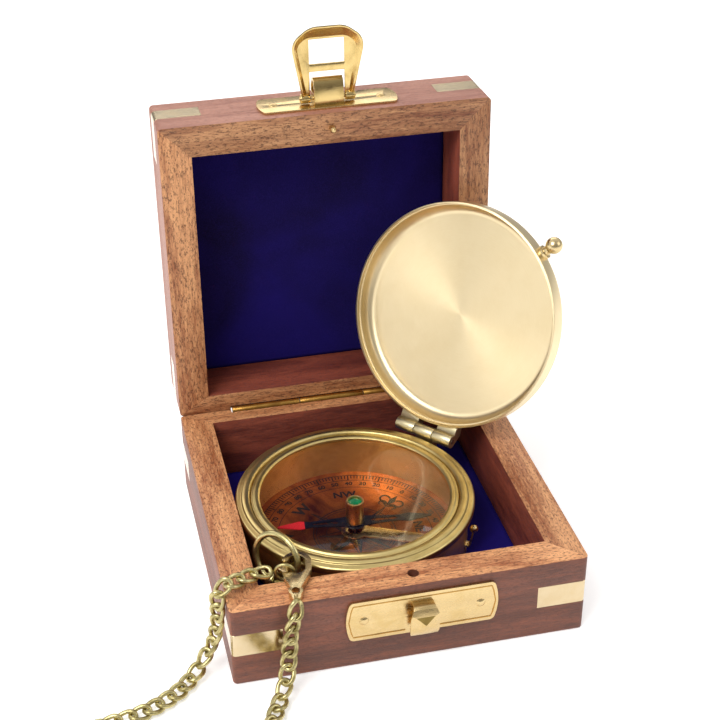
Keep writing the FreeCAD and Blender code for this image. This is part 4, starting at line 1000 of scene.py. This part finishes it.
class COMPASS_OT_cover(bpy.types.Operator):
    """The spun cover with its knuckles and knob"""
    bl_idname = "compass.cover"
    bl_label = "Cover"

    def execute(self, context):
        # the inner wall runs into the flat in one wide arc
        sweep = [(32.4 + 3.2 * math.sin(math.radians(a)), 28.92 + 3.2 * math.cos(math.radians(a)))
                 for a in range(0, 91, 10)]
        outer = rounded([
            (36.78, 25.62), (36.78, 31.2), (36.4, 32.3), (35.3, 32.98), (0, 32.98), (0, 32.12)], 0.5, 4)
        rim = [(35.6, 27.3), (35.75, 27.05), (36.0, 27.0), (36.0, 25.75), (36.12, 25.62)]
        turned_piece("compass_cover", outer + sweep + rim, "cover", COVER_UP, 30.0)
        fitting("cover_hinge_knuckles", "silver_brass", 0.0002)
        fitting("cover_knob", "hinge_pale", 0.0004, 3, 50.0)
        return {"FINISHED"}


# ---- ring, clasp and chain ----
class COMPASS_OT_clasp(bpy.types.Operator):
    """Jump ring, lobster clasp and the chain's end ring"""
    bl_idname = "compass.clasp"
    bl_label = "Ring and clasp"

    def execute(self, context):
        fitting("jump_ring", "worn_brass", 0.00001, 1, 60.0)
        fitting("chain_end_ring", "worn_brass", 0.00001, 1, 60.0)
        fitting("clasp_body", "hinge_pale", 0.0005, 3, 50.0)
        fitting("clasp_gate", "hinge_pale", 0.00025, 2, 50.0)
        fitting("clasp_rivet", "brass", 0.0001)
        fitting("clasp_spring", "steel", 0.00005)
        return {"FINISHED"}


# the chain's way from the end ring over the left rim, round on the table, and back to the clasp, in metres
CHAIN_ROUTE = [
    (-0.0387, -0.0382, 0.0297), (-0.0426, -0.0386, 0.0303), (-0.0470, -0.0403, 0.0306), (-0.0515, -0.0423, 0.0308),
    (-0.0532, -0.0429, 0.0300), (-0.0545, -0.0433, 0.0286), (-0.0552, -0.0435, 0.0267), (-0.0553, -0.0435, 0.0242),
    (-0.0555, -0.0435, 0.0204), (-0.0561, -0.0434, 0.0154), (-0.0573, -0.0430, 0.0107), (-0.0589, -0.0431, 0.0073),
    (-0.0609, -0.0440, 0.0047), (-0.0634, -0.0461, 0.0030), (-0.0660, -0.0491, 0.0027), (-0.0693, -0.0524, 0.0027),
    (-0.0746, -0.0557, 0.0027), (-0.0808, -0.0584, 0.0027), (-0.0895, -0.0600, 0.0027), (-0.1015, -0.0635, 0.0027),
    (-0.1140, -0.0710, 0.0027), (-0.1215, -0.0840, 0.0027), (-0.1210, -0.0990, 0.0027), (-0.1120, -0.1120, 0.0027),
    (-0.0970, -0.1195, 0.0027), (-0.0800, -0.1198, 0.0027), (-0.0655, -0.1125, 0.0027), (-0.0555, -0.0995, 0.0027),
    (-0.0507, -0.0845, 0.0027), (-0.0460, -0.0720, 0.0027), (-0.0428, -0.0650, 0.0027), (-0.0406, -0.0608, 0.00275),
    (-0.0392, -0.0582, 0.0039), (-0.0381, -0.0563, 0.0066), (-0.0374, -0.0553, 0.0103), (-0.0369, -0.0549, 0.0152),
    (-0.0361, -0.0546, 0.0206), (-0.0352, -0.0546, 0.0249), (-0.0345, -0.0539, 0.0278), (-0.0341, -0.0528, 0.0298),
]
# the way the links' flat sides face in each run
CHAIN_UP = {"first on the table": (0, -0.42, 0.9), "last on the table": (0, 0, 1),
            "first hanging": (-0.85, -0.5, 0.1), "last hanging": (0.2, -1, 0)}
FIRST_RUN = 0.42                     # the share of the chain that the first run is


def chain_line():
    """The route's smooth line as closely spaced points."""
    curve = bpy.data.curves.new("chain_line", "CURVE")
    curve.dimensions = "3D"
    curve.resolution_u = 16
    spline = curve.splines.new("NURBS")
    spline.points.add(len(CHAIN_ROUTE) - 1)
    for point, place in zip(spline.points, CHAIN_ROUTE):
        point.co = (*place, 1.0)
    spline.order_u = 3
    spline.use_endpoint_u = True
    holder = bpy.data.objects.new("chain_line", curve)
    bpy.context.scene.collection.objects.link(holder)
    mesh = settled(holder)
    line = [vert.co.copy() for vert in mesh.vertices]
    bpy.data.meshes.remove(mesh)
    bpy.data.curves.remove(curve)
    return line


def spaced(line, step):
    """Places at even distances along the line, each with its direction and distance."""
    run = [0.0]
    for a, b in zip(line, line[1:]):
        run.append(run[-1] + (b - a).length)
    count = int(run[-1] / step)
    start = (run[-1] - (count - 1) * step) / 2
    places, i = [], 0
    for k in range(count):
        s = start + k * step
        while run[i + 1] < s:
            i += 1
        t = (s - run[i]) / (run[i + 1] - run[i])
        places.append((line[i].lerp(line[i + 1], t), (line[i + 1] - line[i]).normalized(), s))
    return places, run[-1]


def curb_link(length, width, wire, turn):
    """One curb link: an oval of round wire, twisted so that its neighbours lie flat in it."""
    work = bmesh.new()
    rings = []
    steps, sides = 28, 8
    centre_line = []
    for k in range(steps):
        t = math.tau * k / steps
        x = (length - wire) / 2 * math.copysign(abs(math.cos(t)) ** 0.85, math.cos(t))
        y = (width - wire) / 2 * math.copysign(abs(math.sin(t)) ** 0.85, math.sin(t))
        twist = turn * x / ((length - wire) / 2)
        centre_line.append(Vector((x, y * math.cos(twist), y * math.sin(twist))))
    for k in range(steps):
        here = centre_line[k]
        along = (centre_line[(k + 1) % steps] - centre_line[k - 1]).normalized()
        out = Vector((here.x * 0.6, here.y, here.z))
        out = (out - out.project(along)).normalized()
        other = along.cross(out)
        ring = []
        for j in range(sides):
            a = math.tau * j / sides
            ring.append(work.verts.new(here + (out * math.cos(a) + other * math.sin(a)) * wire / 2))
        rings.append(ring)
    for k in range(steps):
        for j in range(sides):
            n, m = (k + 1) % steps, (j + 1) % sides
            work.faces.new((rings[k][j], rings[n][j], rings[n][m], rings[k][m]))
    bmesh.ops.recalc_face_normals(work, faces=work.faces)
    mesh = bpy.data.meshes.new("curb_link")
    work.to_mesh(mesh)
    work.free()
    return mesh


class COMPASS_OT_chain(bpy.types.Operator):
    """The curb chain, link by link along its route"""
    bl_idname = "compass.chain"
    bl_label = "Curb chain"

    def execute(self, context):
        chain = context.scene.compass_chain
        line = chain_line()
        places, total = spaced(line, chain.pitch)
        link = curb_link(chain.pitch + 2.1 * chain.wire, chain.width, chain.wire, math.radians(30))
        out, posts = Vector((0, 0, 1)), []
        for k, (spot, way, s) in enumerate(places):
            run = "hanging" if abs(way.z) > 0.6 else "on the table"
            up = Vector(CHAIN_UP["%s %s" % ("first" if s < total * FIRST_RUN else "last", run)])
            out = (out - out.project(way)).lerp(up - up.project(way), 0.45)
            out = (out - out.project(way)).normalized()
            # a hanging chain wanders a little about its own line, and one on the table lies flatter
            lean = math.radians(14 * math.sin(s * 210.0) + 7 * math.sin(s * 530.0)) * (0.4 + 0.6 * abs(way.z))
            normal = Matrix.Rotation(lean, 3, way) @ out
            side = normal.cross(way).normalized()
            turn = Matrix((way, side, way.cross(side))).transposed()
            settle = -0.0007 if abs(way.z) < 0.35 else 0.0
            posts.append((spot + Vector((0, 0, settle)), turn, (1, 1, 1)))
        piece = repeated("curb_chain_links", link, posts, "worn_brass", "base", ["chain"], 60.0)
        return {"FINISHED"}


# ---- stage ----
CAMERA_SPOT = (-0.09102, -0.36968, 0.30451)      # metres
CAMERA_TURN = (11.84, 30.855, -1.064)            # yaw, pitch down and roll, in degrees


def soft_light(name, spot, target, size, power):
    """An area light at a spot that faces a target, both in metres."""
    lamp = bpy.data.lights.new(name, "AREA")
    lamp.shape = "RECTANGLE"
    lamp.size, lamp.size_y = size
    lamp.energy = power
    holder = bpy.data.objects.new(name, lamp)
    bpy.context.scene.collection.objects.link(holder)
    way = Vector(target) - Vector(spot)
    holder.matrix_world = Matrix.Translation(spot) @ way.to_track_quat("-Z", "Y").to_matrix().to_4x4()


class COMPASS_OT_stage(bpy.types.Operator):
    """Pale floor, soft light and the camera"""
    bl_idname = "compass.stage"
    bl_label = "Stage"

    def execute(self, context):
        scene = context.scene
        finish, tree = blank("matt white paper")
        place = add_node(tree, "ShaderNodeTexCoord").outputs["Object"]
        tooth = add_node(tree, "ShaderNodeTexNoise", None, {
            "Vector": place, "Scale": 900.0, "Detail": 3.0, "Roughness": 0.6}).outputs[0]
        bump = add_node(tree, "ShaderNodeBump", None, {
            "Strength": 0.03, "Distance": 0.0001, "Height": tooth}).outputs[0]
        close(tree, add_node(tree, "ShaderNodeBsdfPrincipled", None, {
            "Base Color": srgb("#fafafa"), "Roughness": 0.9, "Normal": bump, "Specular IOR Level": 0.1,
            "Emission Color": srgb("#ffffff"), "Emission Strength": 0.34}))
        work = bmesh.new()
        bmesh.ops.create_grid(work, x_segments=1, y_segments=1, size=3.0)
        mesh = bpy.data.meshes.new("paper_floor")
        work.to_mesh(mesh)
        work.free()
        mesh.materials.append(finish)
        floor = bpy.data.objects.new("paper_floor", mesh)
        floor.location = (0, 0, -0.00002)
        scene.collection.objects.link(floor)

        world = bpy.data.worlds.new("soft room")
        world.use_nodes = True
        tree = world.node_tree
        tree.nodes.clear()
        # a light tent: bright overhead, behind and on the left, darker low down and at the front, by its door
        sky = add_node(tree, "ShaderNodeTexCoord").outputs["Generated"]
        split = add_node(tree, "ShaderNodeSeparateXYZ", None, {0: sky})
        height = add_node(tree, "ShaderNodeMapRange", None, {
            "Value": split.outputs["Z"], "From Min": -0.1, "From Max": 0.55}).outputs[0]
        behind = add_node(tree, "ShaderNodeMapRange", None, {
            "Value": split.outputs["Y"], "From Min": -0.7, "From Max": 0.3, "To Min": 0.45}).outputs[0]
        tent = add_node(tree, "ShaderNodeMath", {"operation": "MULTIPLY"}, {0: height, 1: behind}).outputs[0]
        wall = add_node(tree, "ShaderNodeMapRange", None, {
            "Value": split.outputs["X"], "From Min": -0.45, "From Max": -0.95, "To Max": 0.82}).outputs[0]
        tent = add_node(tree, "ShaderNodeMath", {"operation": "MAXIMUM"}, {0: tent, 1: wall}).outputs[0]
        shade = add_node(tree, "ShaderNodeMix", {"data_type": "RGBA"}, {
            0: tent, 6: srgb("#5d5955"), 7: srgb("#ffffff")}).outputs[2]
        back = add_node(tree, "ShaderNodeBackground", None, {"Color": shade, "Strength": 0.8})
        add_node(tree, "ShaderNodeOutputWorld", None, {"Surface": back.outputs[0]})
        scene.world = world
        soft_light("key softbox", (-0.45, -0.35, 0.75), (0, 0, 0.03), (0.5, 0.5), 5.0)
        soft_light("left softbox", (-0.85, -0.1, 0.16), (0, 0, 0.05), (0.55, 0.3), 0.35)
        soft_light("fill softbox", (0.6, -0.3, 0.45), (0, 0, 0.04), (0.5, 0.4), 0.9)
        soft_light("back softbox", (0.0, 0.8, 0.65), (0, 0, 0.05), (1.2, 0.5), 2.6)

        lens = bpy.data.cameras.new("camera")
        holder = bpy.data.objects.new("camera", lens)
        scene.collection.objects.link(holder)
        yaw, pitch, roll = (math.radians(v) for v in CAMERA_TURN)
        ahead = Vector((math.sin(yaw) * math.cos(pitch), math.cos(yaw) * math.cos(pitch), -math.sin(pitch)))
        right = Vector((math.cos(yaw), -math.sin(yaw), 0))
        up = right.cross(ahead)
        level_right = math.cos(roll) * right + math.sin(roll) * up
        level_up = math.cos(roll) * up - math.sin(roll) * right
        turn = Matrix((level_right, level_up, -ahead)).transposed().to_4x4()
        turn.translation = Vector(CAMERA_SPOT)
        holder.matrix_world = turn
        lens.lens = 74.83
        lens.shift_x = 0.0481
        lens.shift_y = -0.0207
        lens.clip_start = 0.01
        scene.camera = holder
        scene.view_settings.view_transform = "Standard"
        return {"FINISHED"}


OPERATORS = [COMPASS_OT_stage, COMPASS_OT_boards, COMPASS_OT_velvet, COMPASS_OT_inlays, COMPASS_OT_box_hinge,
             COMPASS_OT_catch, COMPASS_OT_case, COMPASS_OT_dial, COMPASS_OT_needle, COMPASS_OT_lifter,
             COMPASS_OT_cover, COMPASS_OT_clasp, COMPASS_OT_chain]


class COMPASS_PT_panel(bpy.types.Panel):
    """Lists the compass's pieces"""
    bl_idname = "COMPASS_PT_panel"
    bl_label = "Boxed pocket compass"
    bl_space_type = "VIEW_3D"
    bl_region_type = "UI"
    bl_category = "Compass"

    def draw(self, context):
        for settings in (context.scene.compass_box, context.scene.compass_case, context.scene.compass_chain):
            column = self.layout.column(align=True)
            for key in settings.__annotations__:
                column.prop(settings, key)
        for operator in OPERATORS:
            self.layout.operator(operator.bl_idname)


CLASSES = [BoxSettings, CompassSettings, ChainSettings, *OPERATORS, COMPASS_PT_panel]


def register():
    for item in CLASSES:
        bpy.utils.register_class(item)
    bpy.types.Scene.compass_box = PointerProperty(type=BoxSettings)
    bpy.types.Scene.compass_case = PointerProperty(type=CompassSettings)
    bpy.types.Scene.compass_chain = PointerProperty(type=ChainSettings)


def unregister():
    for name in ("compass_box", "compass_case", "compass_chain"):
        delattr(bpy.types.Scene, name)
    for item in reversed(CLASSES):
        bpy.utils.unregister_class(item)


def main():
    register()
    for operator in OPERATORS:
        group, name = operator.bl_idname.split(".")
        getattr(getattr(bpy.ops, group), name)()


if __name__ == "__main__":
    main()
